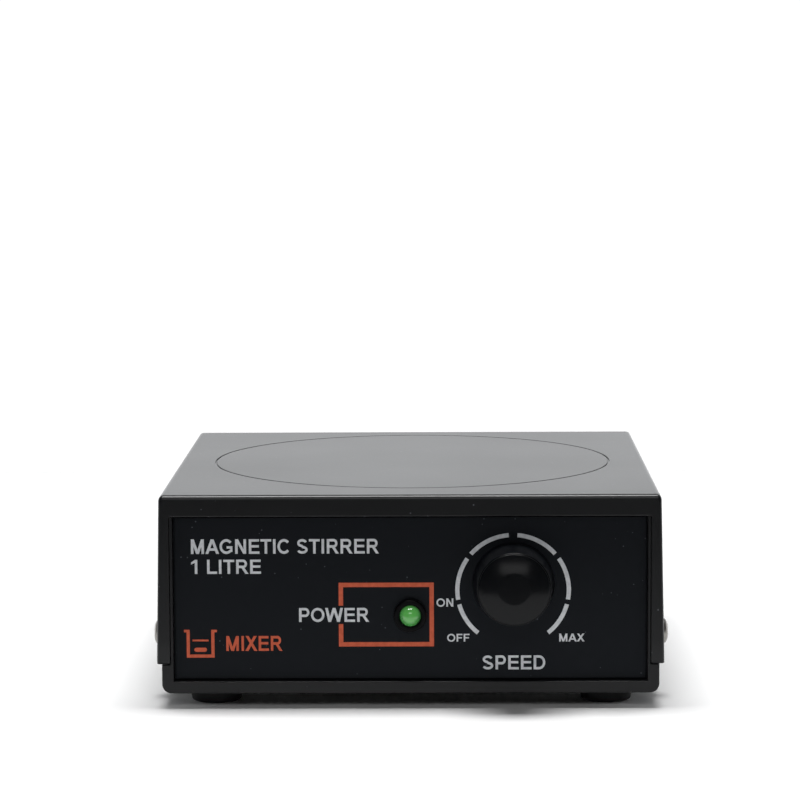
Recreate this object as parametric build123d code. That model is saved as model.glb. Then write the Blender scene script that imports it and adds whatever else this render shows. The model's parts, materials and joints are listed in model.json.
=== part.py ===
"""Small mains-powered magnetic stirrer: a two-shell ABS case, a speed knob and lamp on a recessed front
panel, and a motor that turns a pair of magnets under the top plate.

Millimetres, +Z up, +X to the right as seen from the front, front towards -Y. Pieces are drawn about the
case's own centre (z = 0 on the bench) and moved once, on export, so that the origin is the centre of the
bottom of the whole object's box.
"""

import math
import os

from build123d import *

# ---------------------------------------------------------------- driving dimensions: case
case_width = 120.0  # across the cover's skirts, at their lower edge
case_depth = 120.0  # front frame face to rear frame face
case_height = 51.0  # bench to the top plate's face
foot_height = 3.7
side_draft = 0.85  # each skirt leans in by this much between its lower edge and the top
cover_wall = 2.4
cover_top_wall = 2.6
cover_edge_round = 1.2
cover_corner_round = 0.7
skirt_height_above_base = 7.05  # the skirt's lower edge above the tray's underside
skirt_step = 1.2  # the tray's sides stand in from the skirts by this much
base_floor = 2.5
base_wall = 1.8
base_corner_round = 2.2
base_lap = 14.0  # how far the tray's side walls reach up inside the cover
shell_clearance = 0.2  # tray wall to the inside of the cover
seam_gap = 0.12  # joint line between cover and tray
frame_edge_round = 0.3  # small rounds on the edges of both end frames
strip_edge_round = 0.2

# ---------------------------------------------------------------- end frames and panels
lip_side_width = 3.25
lip_top_height = 5.1
lip_thickness = 1.0
frame_strip_width = 0.65  # tray's upright strip, between the cover's lip and the panel opening
base_band_height = 2.85  # tray's band below the panel opening
panel_recess = 1.8
panel_thickness = 2.0
panel_clearance = 0.1
panel_side_hold = 0.6  # how far each side edge of a panel is hidden in its slot
panel_groove_depth = 1.1
panel_line_width = 0.45  # fine groove in each panel's face, all along the edge of its opening
panel_line_depth = 0.9
rib_thickness = 1.5
rib_reach = 2.0

# ---------------------------------------------------------------- ring groove and drive
drive_y = 2.0  # drive axis behind the case's centre
ring_groove_radius = 50.0
ring_groove_width = 0.5
ring_groove_depth = 0.4

# ---------------------------------------------------------------- screws and feet
screw_clearance = 0.05  # radial, shank to its hole
side_screw_diameter = 3.5
side_screw_head_diameter = 6.2
side_screw_head_height = 2.0
side_screw_length = 9.0
side_screw_from_end = 15.0  # behind the front face, and before the rear face
side_screw_height = 15.7  # above the bench
side_boss_diameter = 8.0
side_boss_length = 4.6
small_screw_diameter = 2.9
small_screw_head_diameter = 5.6
small_screw_head_height = 1.8
blind_hole_floor = 1.0  # plastic left under a screw's blind hole
boss_diameter = 7.0
boss_root = 0.5  # how far a boss is sunk into the floor
screw_tip_clearance = 0.5
small_nut_across_flats = 5.5
small_nut_thickness = 2.2
inlet_screw_length = 7.5
motor_screw_length = 2.6
foot_bottom_diameter = 11.8
foot_taper = 8.0  # degrees, wider towards the tray
foot_edge_round = 0.6
foot_stem_diameter = 6.0
foot_inset = 12.0  # foot centre from the tray's side and end faces

# ---------------------------------------------------------------- knob, potentiometer
knob_x = 24.4
knob_height = 29.7  # knob axis above the bench
knob_diameter = 19.4  # at its back, next to the panel
knob_front_margin = 0.3  # knob's front edge outside its cap
knob_edge_round = 0.2
knob_reach = 9.5  # front of the knob from the panel's face
knob_gap = 0.7  # back of the knob from the panel's face
knob_wall = 1.5
knob_cap_diameter = 16.7
knob_cap_thickness = 1.8
knob_cap_fall = 0.6  # the cap's domed face falls by this much from its flat middle to its rim
knob_cap_stand = 0.15  # cap's rim in front of the knob body's edge
knob_cap_clearance = 0.03
knob_flat_diameter = 7.4  # flat middle of the cap
knob_hub_diameter = 10.0
knob_hub_clearance = 0.5  # hub to the end of the potentiometer's bush
shaft_diameter = 6.0
shaft_running_clearance = 0.05
shaft_tip_clearance = 0.4
pot_bush_diameter = 7.0
pot_bush_length = 6.5
pot_body_diameter = 17.0
pot_body_depth = 10.0
pot_back_wall = 1.5
switch_depth = 7.5
switch_diameter = 15.0
pot_lug_pitch = 5.0
pot_lug_length = 5.0
pot_lug_setback = 4.1  # lugs behind the body's front face
pot_nut_across_flats = 10.0
pot_nut_thickness = 2.0
pot_washer_diameter = 12.0
pot_washer_thickness = 0.5

# ---------------------------------------------------------------- lamp
lamp_x = 0.0
lamp_height = 22.1
led_diameter = 5.0
led_dome_reach = 3.2  # tip of the dome from the panel's face
led_flange_diameter = 5.8
led_flange_thickness = 1.0
led_back = 2.5  # back of the lens behind the panel
led_leg_width = 0.5
led_leg_spacing = 2.54
led_leg_length = 9.0
bezel_diameter = 7.8
bezel_reach = 1.5
bezel_barrel_diameter = 6.4
bezel_clearance = 0.05
bezel_clip_length = 1.2  # barrel behind the panel
bezel_edge_round = 0.5

# ---------------------------------------------------------------- mains inlet
inlet_x = 30.0
inlet_height = 27.0
inlet_body_width = 21.0
inlet_body_height = 11.0
inlet_body_depth = 15.0
inlet_flange_width = 35.0
inlet_flange_height = 15.0
inlet_flange_thickness = 2.4
inlet_screw_spacing = 28.0
inlet_flange_corner = 3.0
inlet_lobe_diameter = 7.6
inlet_waist_height = 6.4  # between the two lobes
inlet_socket_depth = 11.5
inlet_pin_spacing = 8.6
inlet_pin_diameter = 2.4
inlet_pin_reach = 9.0
inlet_tail_length = 3.0

# ---------------------------------------------------------------- motor and magnet drive
motor_diameter = 34.0
motor_length = 22.0
motor_wall = 1.2
motor_bottom = 11.0  # underside of the motor above the bench
end_cap_thickness = 2.0
motor_shaft_diameter = 3.0
bush_diameter = 7.0
bush_running_clearance = 0.03
stator_magnet_thickness = 4.0
stator_magnet_overlap = 0.5  # magnets reach past the armature at each end
stator_magnet_gap = 10.0  # between the two magnets
armature_air_gap = 0.6
armature_length = 12.0
armature_lift = 3.0  # armature above the end cap
armature_slots = 3
armature_slot_depth = 3.0
armature_slot_width = 2.2
commutator_diameter = 8.0
commutator_length = 2.5
bracket_thickness = 1.5
bracket_width = 22.0
bracket_foot_length = 10.0
bracket_leg_gap = 4.0  # motor can to the bracket's legs
bracket_boss_height = 2.0
motor_screw_spacing = 20.0
carrier_diameter = 46.0
carrier_thickness = 6.0
carrier_edge_round = 0.8
carrier_web = 1.0  # plastic left over the end of the shaft
carrier_hub_diameter = 12.0
carrier_hub_length = 3.2
carrier_top_clearance = 1.0  # below the top plate
drive_magnet_diameter = 12.0
drive_magnet_thickness = 5.0
drive_magnet_radius = 15.5
magnet_clearance = 0.03
grub_screw_diameter = 2.0

# ---------------------------------------------------------------- transformer
transformer_x = -39.0
transformer_y = 26.0
core_stack = 16.0  # along X
core_length = 38.0  # along Y
core_height = 32.0
core_limb = 6.4
core_above_floor = 2.0
winding_clearance = 0.1
winding_overhang = 4.5
winding_corner_round = 2.0
strap_width = 12.0
strap_thickness = 0.8
strap_foot_length = 7.0

# ---------------------------------------------------------------- circuit board
board_x = 35.8
board_y = 6.0
board_width = 29.0  # along X
board_length = 76.0  # along Y
board_thickness = 1.6
board_standoff = 6.0
board_hole_inset = 4.0
terminal_y = 28.0  # each terminal block's centre from the board's centre
terminal_width = 15.2
terminal_depth = 8.0
terminal_height = 9.0
terminal_pitch = 5.08
terminal_well = 3.2  # diameter of the hole over each clamp screw
terminal_well_depth = 1.5
terminal_entry = 2.5  # lead entry above the board
fuse_y = 19.0
rectifier_place = (-8.0, 9.0)
rectifier_length = 8.0
rectifier_width = 6.4
rectifier_top = 7.5
rectifier_legs = 4
component_leg = 0.8  # width of a component's flat leg
capacitor_place = (6.0, 7.5)
regulator_y = -9.0
fuse_diameter = 5.2
fuse_length = 20.0
fuse_axis_height = 4.5
fuse_clip_inset = 2.5
fuse_clip_wall = 0.6
capacitor_diameter = 13.0
capacitor_height = 21.0
regulator_width = 10.2
regulator_height = 16.0
regulator_thickness = 4.5
regulator_leg_length = 3.0
regulator_leg_pitch = 2.54
heat_sink_width = 24.0
heat_sink_height = 22.0
heat_sink_depth = 9.0
heat_sink_back = 2.0  # thickness of the sink's back plate
heat_sink_fins = 5
heat_sink_fin = 1.2  # thickness of one fin
lead_diameter = 1.4
lead_pair_spacing = 3.2
lamp_pad_from_end = 8.5  # lamp leads' pads behind the board's front edge
supply_pad_from_end = 12.0  # transformer leads' pads before the board's rear edge

# ---------------------------------------------------------------- worked-out sizes and positions
small_screw_hole = small_screw_diameter + 2 * screw_clearance
base_bottom = foot_height
floor_top = base_bottom + base_floor
skirt_bottom = base_bottom + skirt_height_above_base
cover_inside_top = case_height - cover_top_wall
half_width = case_width / 2
half_depth = case_depth / 2
cover_inner_x = half_width - cover_wall
base_outer_x = half_width - skirt_step
base_lap_x = cover_inner_x - shell_clearance
base_inner_x = base_lap_x - base_wall
lip_inner_x = half_width - lip_side_width
opening_x = lip_inner_x - seam_gap - frame_strip_width
opening_top = case_height - lip_top_height
opening_bottom = base_bottom + base_band_height
panel_face = half_depth - panel_recess
panel_back = panel_face - panel_thickness
panel_half_width = opening_x + panel_side_hold
panel_bottom = floor_top - panel_groove_depth
panel_top = cover_inside_top - panel_clearance
rib_face = panel_back - panel_clearance
rib_back = rib_face - rib_thickness
side_screw_y = half_depth - side_screw_from_end
board_bottom = floor_top + board_standoff
board_top = board_bottom + board_thickness
motor_top = motor_bottom + motor_length
armature_bottom = motor_bottom + end_cap_thickness + armature_lift
bracket_top = motor_top + bracket_thickness
carrier_top = cover_inside_top - carrier_top_clearance
carrier_bottom = carrier_top - carrier_thickness
bracket_leg_y = motor_diameter / 2 + bracket_leg_gap
transformer_bottom = floor_top + core_above_floor
knob_front = panel_face + knob_reach
front_reach = knob_front - half_depth
rear_reach = inlet_flange_thickness + small_screw_head_height - panel_recess
case_shift_y = (front_reach - rear_reach) / 2
side_slope = side_draft / (case_height - skirt_bottom)


# ---------------------------------------------------------------- helpers
def block(x0, x1, y0, y1, z0, z1):
    """Box between two corners."""
    centre = ((x0 + x1) / 2, (y0 + y1) / 2, (z0 + z1) / 2)
    return Pos(*centre) * Box(abs(x1 - x0), abs(y1 - y0), abs(z1 - z0))


def rod_z(x, y, z0, z1, diameter):
    """Upright cylinder."""
    return Pos(x, y, (z0 + z1) / 2) * Cylinder(diameter / 2, abs(z1 - z0))


def rod_y(x, z, y0, y1, diameter):
    """Cylinder along Y."""
    return Pos(x, (y0 + y1) / 2, z) * Rot(90, 0, 0) * Cylinder(diameter / 2, abs(y1 - y0))


def rod_x(y, z, x0, x1, diameter):
    """Cylinder along X."""
    return Pos((x0 + x1) / 2, y, z) * Rot(0, 90, 0) * Cylinder(diameter / 2, abs(x1 - x0))


def pan_screw(diameter, length, head_diameter, head_height):
    """Cross-recess pan-head screw: its head sits on z = 0 and points up, its shank points down."""
    head = Pos(0, 0, head_height / 2) * Cylinder(head_diameter / 2, head_height)
    head = fillet(head.edges().group_by(Axis.Z)[-1], head_height * 0.45)
    shank = Pos(0, 0, -length / 2) * Cylinder(diameter / 2, length)
    shank = chamfer(shank.edges().group_by(Axis.Z)[0], diameter * 0.2)
    slot_width = head_diameter * 0.16
    slot_length = head_diameter * 0.62
    slot_depth = head_height * 0.6
    slot = Pos(0, 0, head_height) * Box(slot_length, slot_width, slot_depth * 2)
    return head + shank - slot - Rot(0, 0, 90) * slot


def group(pieces):
    """Several separate solids as one node."""
    return Compound(list(pieces))


def lead(*points):
    """Insulated lead: straight runs joined by arcs as large as the runs allow."""
    radii = []
    for before, corner, after in zip(points, points[1:], points[2:]):
        run_in = Vector(corner) - Vector(before)
        run_out = Vector(after) - Vector(corner)
        half_turn = math.radians(run_in.get_angle(run_out)) / 2
        radii.append(0.45 * min(run_in.length, run_out.length) / math.tan(half_turn))
    path = FilletPolyline(*points, radius=radii)
    section = Plane(origin=path @ 0, z_dir=path % 0) * Circle(lead_diameter / 2)
    return sweep(section, path=path)


def hexagon_nut(across_flats, thickness, hole):
    nut = extrude(RegularPolygon(across_flats / 2, 6, major_radius=False), amount=thickness)
    return nut - rod_z(0, 0, -1, thickness + 1, hole)


def small_screw(length):
    return pan_screw(small_screw_diameter, length, small_screw_head_diameter, small_screw_head_height)


def boss_screw(x, y, seat):
    """Screw whose head sits at z = seat and whose tip stops short of the tray's blind hole's end."""
    return Pos(x, y, seat) * small_screw(seat - base_bottom - blind_hole_floor - screw_tip_clearance)


def both_ends(draw):
    """The same feature at the front (-Y) and, mirrored, at the rear."""
    front = draw()
    return front + mirror(front, about=Plane.XZ)


# ---------------------------------------------------------------- case
def side_screw_places():
    """(x side, y) of each screw that holds the cover to the tray."""
    return [(side, end * side_screw_y) for side in (-1, 1) for end in (-1, 1)]


def foot_places():
    x = base_outer_x - foot_inset
    y = half_depth - foot_inset
    return [(side * x, end * y) for side in (-1, 1) for end in (-1, 1)]


def board_hole_places():
    x = board_width / 2 - board_hole_inset
    y = board_length / 2 - board_hole_inset
    return [(board_x + side * x, board_y + end * y) for side in (-1, 1) for end in (-1, 1)]


def bracket_hole_places():
    y = bracket_leg_y + bracket_thickness + bracket_foot_length / 2
    return [(side * bracket_width / 4, drive_y + end * y) for side in (-1, 1) for end in (-1, 1)]


def strap_hole_places():
    y = core_length / 2 + strap_thickness + strap_foot_length / 2
    return [(transformer_x, transformer_y + end * y) for end in (-1, 1)]


def side_screw_seat():
    """Distance from the middle plane to the flat that a cover screw's head sits on."""
    head_top = side_screw_height + side_screw_head_diameter / 2
    return half_width - side_slope * (head_top - skirt_bottom)


def side_screw_hole(side, y):
    span = (side * (base_inner_x - side_boss_length), side * (half_width + 1))
    return rod_x(y, side_screw_height, *span, side_screw_diameter + 2 * screw_clearance)


def make_top_cover():
    """Top plate, leaning skirts and a lip around each end opening, in one moulding."""
    lower = (half_width, skirt_bottom)
    upper = (half_width - side_draft, case_height)
    outline = Polygon((-lower[0], lower[1]), lower, upper, (-upper[0], upper[1]), align=None)
    shell = extrude(Plane.XZ * outline, amount=half_depth, both=True)
    corner_edges = [e for e in shell.edges() if abs(e.center().Z - (skirt_bottom + case_height) / 2) < 1]
    shell = fillet(corner_edges, cover_corner_round)
    shell = fillet(shell.faces().sort_by(Axis.Z)[-1].edges(), cover_edge_round)
    inside_y = half_depth - lip_thickness
    shell -= block(-cover_inner_x, cover_inner_x, -inside_y, inside_y, skirt_bottom - 1, cover_inside_top)
    shell -= block(-lip_inner_x, lip_inner_x, -half_depth - 1, half_depth + 1, skirt_bottom - 1, opening_top)
    lip_edges = [
        edge
        for edge in shell.edges()
        if half_depth - abs(edge.center().Y) < 0.01
        and edge.bounding_box().max.Z <= opening_top + 0.01
        and half_width - abs(edge.center().X) > 1
    ]
    shell = fillet(lip_edges, frame_edge_round)
    rib_z = cover_inside_top - rib_reach
    rib_x = panel_half_width - rib_reach
    shell += both_ends(lambda: block(-rib_x, rib_x, -rib_face, -rib_back, rib_z, cover_inside_top))
    groove = Cylinder(ring_groove_radius + ring_groove_width / 2, 2 * ring_groove_depth)
    groove -= Cylinder(ring_groove_radius - ring_groove_width / 2, 2 * ring_groove_depth)
    shell -= Pos(0, drive_y, case_height) * groove
    flat_diameter = side_screw_head_diameter + 2 * seam_gap
    for side, y in side_screw_places():
        shell -= side_screw_hole(side, y)
        flat = (side * side_screw_seat(), side * (half_width + 1))
        shell -= rod_x(y, side_screw_height, *flat, flat_diameter)
    return shell


def frame_strip(side):
    """Upright strip of the tray between the cover's lip and the panel opening, at the front."""
    span = (side * opening_x, side * (opening_x + frame_strip_width))
    strip = block(*span, -half_depth, -half_depth + lip_thickness + seam_gap, floor_top, opening_top)
    return fillet(strip.edges().filter_by(Axis.Z).group_by(Axis.Y)[0], strip_edge_round)


def make_base_tray():
    """Floor, side walls that lap inside the cover, end frames with panel slots, and moulded bosses."""
    wall_top = skirt_bottom - seam_gap
    tray = block(-base_outer_x, base_outer_x, -half_depth, half_depth, base_bottom, wall_top)
    long_edges = tray.edges().filter_by(Axis.Y).group_by(Axis.Z)[0]
    tray = fillet(long_edges, base_corner_round)
    tray -= block(-base_inner_x, base_inner_x, -panel_face, panel_face, floor_top, wall_top + 1)
    tray -= block(-opening_x, opening_x, -half_depth - 1, half_depth + 1, opening_bottom, wall_top + 1)
    frame_edges = [edge for edge in tray.edges() if half_depth - abs(edge.center().Y) < 0.01]
    tray = fillet(frame_edges, frame_edge_round)
    inside_y = half_depth - lip_thickness - seam_gap
    for side in (-1, 1):
        wall = (side * base_inner_x, side * base_lap_x)
        tray += block(*wall, -inside_y, inside_y, floor_top, skirt_bottom + base_lap)
        post = (side * (opening_x - rib_reach), side * base_lap_x)
        tray += both_ends(lambda: block(*post, -inside_y, -rib_back, floor_top, opening_top))
        tray += both_ends(lambda: frame_strip(side))
    rib_top = floor_top + rib_reach
    tray += both_ends(lambda: block(-opening_x, opening_x, -rib_face, -rib_back, floor_top, rib_top))
    slot_x = panel_half_width + panel_clearance
    slot_z = panel_bottom - panel_clearance
    tray -= both_ends(lambda: block(-slot_x, slot_x, -panel_face, -rib_face, slot_z, case_height))
    mouth = (-opening_x, opening_x, -half_depth - 1, -panel_face, opening_bottom, case_height)
    tray -= both_ends(lambda: block(*mouth))
    for side, y in side_screw_places():
        inner = base_inner_x - side_boss_length
        tray += rod_x(y, side_screw_height, side * inner, side * base_inner_x, side_boss_diameter)
        tray -= side_screw_hole(side, y)
    bosses = [(x, y, board_bottom) for x, y in board_hole_places()]
    bosses += [(x, y, floor_top + bracket_boss_height) for x, y in bracket_hole_places()]
    bosses += [(x, y, transformer_bottom) for x, y in strap_hole_places()]
    for x, y, top in bosses:
        tray += rod_z(x, y, floor_top - boss_root, top, boss_diameter)
        tray -= rod_z(x, y, base_bottom + blind_hole_floor, top + 1, small_screw_hole)
    for x, y in foot_places():
        tray -= rod_z(x, y, base_bottom - 1, floor_top + 1, foot_stem_diameter + 2 * panel_clearance)
    return tray


def panel_plate():
    """Slide-in plate with a fine groove along its opening, the same at both ends, drawn at the front."""
    line_y = (-panel_face - 1, -panel_face + panel_line_depth)
    inner_x = opening_x - panel_line_width
    inner_bottom = opening_bottom + panel_line_width
    inner_top = opening_top - panel_line_width
    line = block(-opening_x, opening_x, *line_y, opening_bottom, opening_top)
    line -= block(-inner_x, inner_x, *line_y, inner_bottom, inner_top)
    plate = block(-panel_half_width, panel_half_width, -panel_face, -panel_back, panel_bottom, panel_top)
    return plate - line


def make_front_panel():
    through = (-half_depth, -panel_back + 1)
    panel = panel_plate()
    panel -= rod_y(knob_x, knob_height, *through, pot_bush_diameter + 2 * panel_clearance)
    panel -= rod_y(lamp_x, lamp_height, *through, bezel_barrel_diameter + 2 * bezel_clearance)
    return panel


def make_rear_panel():
    through = (panel_back - 1, half_depth)
    half_w = inlet_body_width / 2 + panel_clearance
    half_h = inlet_body_height / 2 + panel_clearance
    window_z = (inlet_height - half_h, inlet_height + half_h)
    panel = mirror(panel_plate(), about=Plane.XZ)
    panel -= block(inlet_x - half_w, inlet_x + half_w, *through, *window_z)
    for x in inlet_screw_xs():
        panel -= rod_y(x, inlet_height, *through, small_screw_hole)
    return panel


def make_feet():
    """Push-in rubber feet: a tapered pad and a stem through the floor."""
    feet = []
    for x, y in foot_places():
        pad = Pos(x, y, 0) * extrude(Circle(foot_bottom_diameter / 2), amount=foot_height, taper=-foot_taper)
        pad = fillet(pad.edges().group_by(Axis.Z)[0], foot_edge_round)
        feet.append(pad + rod_z(x, y, foot_height - foot_edge_round, floor_top, foot_stem_diameter))
    return group(feet)


def make_cover_screws():
    head = (side_screw_head_diameter, side_screw_head_height)
    screw = pan_screw(side_screw_diameter, side_screw_length, *head)
    return group(
        Pos(side * side_screw_seat(), y, side_screw_height) * Rot(0, side * 90, 0) * screw
        for side, y in side_screw_places()
    )


# ---------------------------------------------------------------- speed control
def at_knob(solid):
    """Carries a piece drawn along +Z, with z = 0 on the panel's face, to the knob's axis."""
    return Pos(knob_x, -panel_face, knob_height) * Rot(90, 0, 0) * solid


def make_knob_body():
    """Cup that narrows towards the front, with a seat for the cap and a hub on the shaft."""
    front = knob_reach - knob_cap_fall - knob_cap_stand
    front_radius = knob_cap_diameter / 2 + knob_front_margin
    outline = Polygon(
        (0, knob_gap),
        (knob_diameter / 2, knob_gap),
        (front_radius, front),
        (0, front),
        align=None,
    )
    body = revolve(Plane.XZ * outline, axis=Axis.Z)
    body = fillet(body.edges().group_by(Axis.Z)[-1], knob_edge_round)
    seat_z = knob_reach - knob_cap_thickness
    body -= rod_z(0, 0, seat_z, front + 1, knob_cap_diameter + 2 * knob_cap_clearance)
    hollow_top = seat_z - knob_wall
    hub_bottom = pot_bush_length - panel_thickness + knob_hub_clearance
    hollow = rod_z(0, 0, 0, hollow_top, 2 * (front_radius - knob_wall))
    if hub_bottom < hollow_top:
        hollow -= rod_z(0, 0, hub_bottom, hollow_top, knob_hub_diameter)
    body -= hollow
    body -= rod_z(0, 0, 0, seat_z + 1, shaft_diameter + 2 * knob_cap_clearance)
    return at_knob(body)


def make_knob_cap():
    """Front cap: a shallow dome with a flat middle."""
    radius = knob_cap_diameter / 2
    flat = knob_flat_diameter / 2
    back = knob_reach - knob_cap_thickness
    rim = knob_reach - knob_cap_fall
    dome = (radius**2 - flat**2) / (2 * knob_cap_fall) + knob_cap_fall / 2
    middle = (radius + flat) / 2
    centre_z = knob_reach - math.sqrt(dome**2 - flat**2)
    middle_z = centre_z + math.sqrt(dome**2 - middle**2)
    lines = Polyline((flat, knob_reach), (0, knob_reach), (0, back), (radius, back), (radius, rim))
    face = ThreePointArc((radius, rim), (middle, middle_z), (flat, knob_reach))
    profile = make_face(Plane.XZ * Wire([*lines.edges(), face.edge()]))
    return at_knob(revolve(profile, axis=Axis.Z))


def make_pot_shaft():
    tip = knob_reach - knob_cap_thickness - shaft_tip_clearance
    foot = -panel_thickness - pot_body_depth + pot_back_wall + shaft_tip_clearance
    return at_knob(rod_z(0, 0, foot, tip, shaft_diameter))


def make_pot_body():
    """Round can with a threaded bush, a switch can behind it and three lugs below."""
    front = -panel_thickness
    back = front - pot_body_depth
    body = rod_z(0, 0, back, front, pot_body_diameter)
    body += rod_z(0, 0, front, front + pot_bush_length, pot_bush_diameter)
    body += rod_z(0, 0, back - switch_depth, back, switch_diameter)
    lug_end = -pot_body_diameter / 2 - pot_lug_length
    lug_z = front - pot_lug_setback
    for step in (-1, 0, 1):
        x = step * pot_lug_pitch
        body += block(x - 0.9, x + 0.9, lug_end, 0, lug_z - 0.3, lug_z + 0.3)
    bore = shaft_diameter + 2 * shaft_running_clearance
    body -= rod_z(0, 0, back + pot_back_wall, front + pot_bush_length + 1, bore)
    return at_knob(body)


def make_pot_washer():
    hole = pot_bush_diameter + 2 * panel_clearance
    washer = rod_z(0, 0, 0, pot_washer_thickness, pot_washer_diameter)
    return at_knob(washer - rod_z(0, 0, -1, 2, hole))


def make_pot_nut():
    nut = hexagon_nut(pot_nut_across_flats, pot_nut_thickness, pot_bush_diameter + 2 * screw_clearance)
    return at_knob(Pos(0, 0, pot_washer_thickness) * nut)


# ---------------------------------------------------------------- lamp
def at_lamp(solid):
    return Pos(lamp_x, -panel_face, lamp_height) * Rot(90, 0, 0) * solid


def make_led():
    """Round lens with a domed tip and a flange at its back."""
    radius = led_diameter / 2
    back = -panel_thickness - led_back
    lens = rod_z(0, 0, back, led_dome_reach - radius, led_diameter)
    lens += Pos(0, 0, led_dome_reach - radius) * Sphere(radius)
    return at_lamp(lens + rod_z(0, 0, back, back + led_flange_thickness, led_flange_diameter))


def make_lamp_bezel():
    """Ring with a barrel through the panel that grips the lens."""
    back = -panel_thickness - bezel_clip_length
    ring = rod_z(0, 0, 0, bezel_reach, bezel_diameter)
    ring = fillet(ring.edges().group_by(Axis.Z)[-1], bezel_edge_round)
    ring += rod_z(0, 0, back, 0, bezel_barrel_diameter)
    return at_lamp(ring - rod_z(0, 0, back - 1, bezel_reach + 1, led_diameter + 2 * bezel_clearance))


def make_lamp_legs():
    """The lamp's two square metal legs."""
    half = led_leg_width / 2
    start = -panel_thickness - led_back
    return group(
        at_lamp(block(x - half, x + half, -half, half, start - led_leg_length, start))
        for x in (-led_leg_spacing / 2, led_leg_spacing / 2)
    )


# ---------------------------------------------------------------- mains inlet
def inlet_screw_xs():
    return [inlet_x + side * inlet_screw_spacing / 2 for side in (-1, 1)]


def at_inlet(solid):
    """Carries a piece drawn along +Z, with z = 0 on the rear panel's face, to the inlet's axis."""
    return Pos(inlet_x, panel_face, inlet_height) * Rot(-90, 0, 0) * solid


def make_inlet_body():
    """Flanged two-pole inlet: a figure-of-eight socket in a rectangular body."""
    body = block(
        -inlet_body_width / 2,
        inlet_body_width / 2,
        -inlet_body_height / 2,
        inlet_body_height / 2,
        inlet_flange_thickness - inlet_body_depth,
        inlet_flange_thickness,
    )
    outline = RectangleRounded(inlet_flange_width, inlet_flange_height, inlet_flange_corner)
    body += extrude(outline, amount=inlet_flange_thickness)
    floor = inlet_flange_thickness - inlet_socket_depth
    lobe_x = inlet_pin_spacing / 2
    for side in (-1, 1):
        body -= rod_z(side * lobe_x, 0, floor, inlet_flange_thickness + 1, inlet_lobe_diameter)
        body -= rod_z(side * lobe_x, 0, -20, floor + 1, inlet_pin_diameter)
        body -= rod_z(side * inlet_screw_spacing / 2, 0, -1, inlet_flange_thickness + 1, small_screw_hole)
    waist = (-inlet_waist_height / 2, inlet_waist_height / 2)
    body -= block(-lobe_x, lobe_x, *waist, floor, inlet_flange_thickness + 1)
    return at_inlet(body)


def make_inlet_pins():
    """Two round contact pins, each with a solder tail behind the body."""
    floor = inlet_flange_thickness - inlet_socket_depth
    tail = inlet_flange_thickness - inlet_body_depth - inlet_tail_length
    pins = []
    for side in (-1, 1):
        pin = rod_z(side * inlet_pin_spacing / 2, 0, tail, floor + inlet_pin_reach, inlet_pin_diameter)
        pins.append(at_inlet(fillet(pin.edges().group_by(Axis.Z)[-1], inlet_pin_diameter / 4)))
    return group(pins)


def make_inlet_screws():
    screw = small_screw(inlet_screw_length)
    return group(
        at_inlet(Pos(side * inlet_screw_spacing / 2, 0, inlet_flange_thickness) * screw) for side in (-1, 1)
    )


def make_inlet_nuts():
    nut = hexagon_nut(small_nut_across_flats, small_nut_thickness, small_screw_hole)
    z = -panel_thickness - small_nut_thickness
    return group(at_inlet(Pos(side * inlet_screw_spacing / 2, 0, z) * nut) for side in (-1, 1))


# ---------------------------------------------------------------- motor
def at_drive(solid):
    return Pos(0, drive_y, 0) * solid


def make_motor_can():
    """Deep-drawn can, open at the bottom, with a bush seat and two screw holes in its top."""
    can = rod_z(0, 0, motor_bottom + end_cap_thickness, motor_top, motor_diameter)
    can -= rod_z(0, 0, motor_bottom, motor_top - motor_wall, motor_diameter - 2 * motor_wall)
    can -= rod_z(0, 0, motor_bottom, motor_top + 1, bush_diameter)
    for side in (-1, 1):
        x = side * motor_screw_spacing / 2
        can -= rod_z(x, 0, motor_top - motor_wall - 1, motor_top + 1, small_screw_hole)
    return at_drive(can)


def make_motor_end_cap():
    cap = rod_z(0, 0, motor_bottom, motor_bottom + end_cap_thickness, motor_diameter)
    return at_drive(cap - rod_z(0, 0, 0, motor_top, bush_diameter))


def make_motor_bushes():
    """Two sintered bushes: one in the end cap, one in the can's top."""
    spans = (
        (motor_bottom, motor_bottom + end_cap_thickness),
        (motor_top - motor_wall, bracket_top),
    )
    bore = motor_shaft_diameter + 2 * bush_running_clearance
    return group(
        at_drive(rod_z(0, 0, z0, z1, bush_diameter) - rod_z(0, 0, z0 - 1, z1 + 1, bore)) for z0, z1 in spans
    )


def armature_diameter():
    return motor_diameter - 2 * (motor_wall + stator_magnet_thickness + armature_air_gap)


def make_stator_magnets():
    """Two arc magnets on the can's inner wall."""
    outer = motor_diameter - 2 * motor_wall
    z0 = armature_bottom - stator_magnet_overlap
    z1 = armature_bottom + armature_length + stator_magnet_overlap
    ring = rod_z(0, 0, z0, z1, outer) - rod_z(0, 0, z0 - 1, z1 + 1, outer - 2 * stator_magnet_thickness)
    gap = stator_magnet_gap / 2
    arcs = ring - block(-gap, gap, -outer, outer, z0 - 1, z1 + 1)
    return group(at_drive(solid) for solid in arcs.solids())


def make_armature():
    """Slotted iron core with its windings, drawn as one fluted drum."""
    radius = armature_diameter() / 2
    half_slot = armature_slot_width / 2
    armature_top = armature_bottom + armature_length
    core = rod_z(0, 0, armature_bottom, armature_top, 2 * radius)
    slot = block(radius - armature_slot_depth, radius + 1, -half_slot, half_slot, 0, armature_top + 1)
    for turn in range(armature_slots):
        core -= Rot(0, 0, 360 * turn / armature_slots) * slot
    return at_drive(core - rod_z(0, 0, 0, motor_top, motor_shaft_diameter))


def make_commutator():
    z0 = armature_bottom + armature_length
    drum = rod_z(0, 0, z0, z0 + commutator_length, commutator_diameter)
    return at_drive(drum - rod_z(0, 0, 0, motor_top, motor_shaft_diameter))


def make_motor_shaft():
    return at_drive(rod_z(0, 0, motor_bottom, carrier_top - carrier_web, motor_shaft_diameter))


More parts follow.
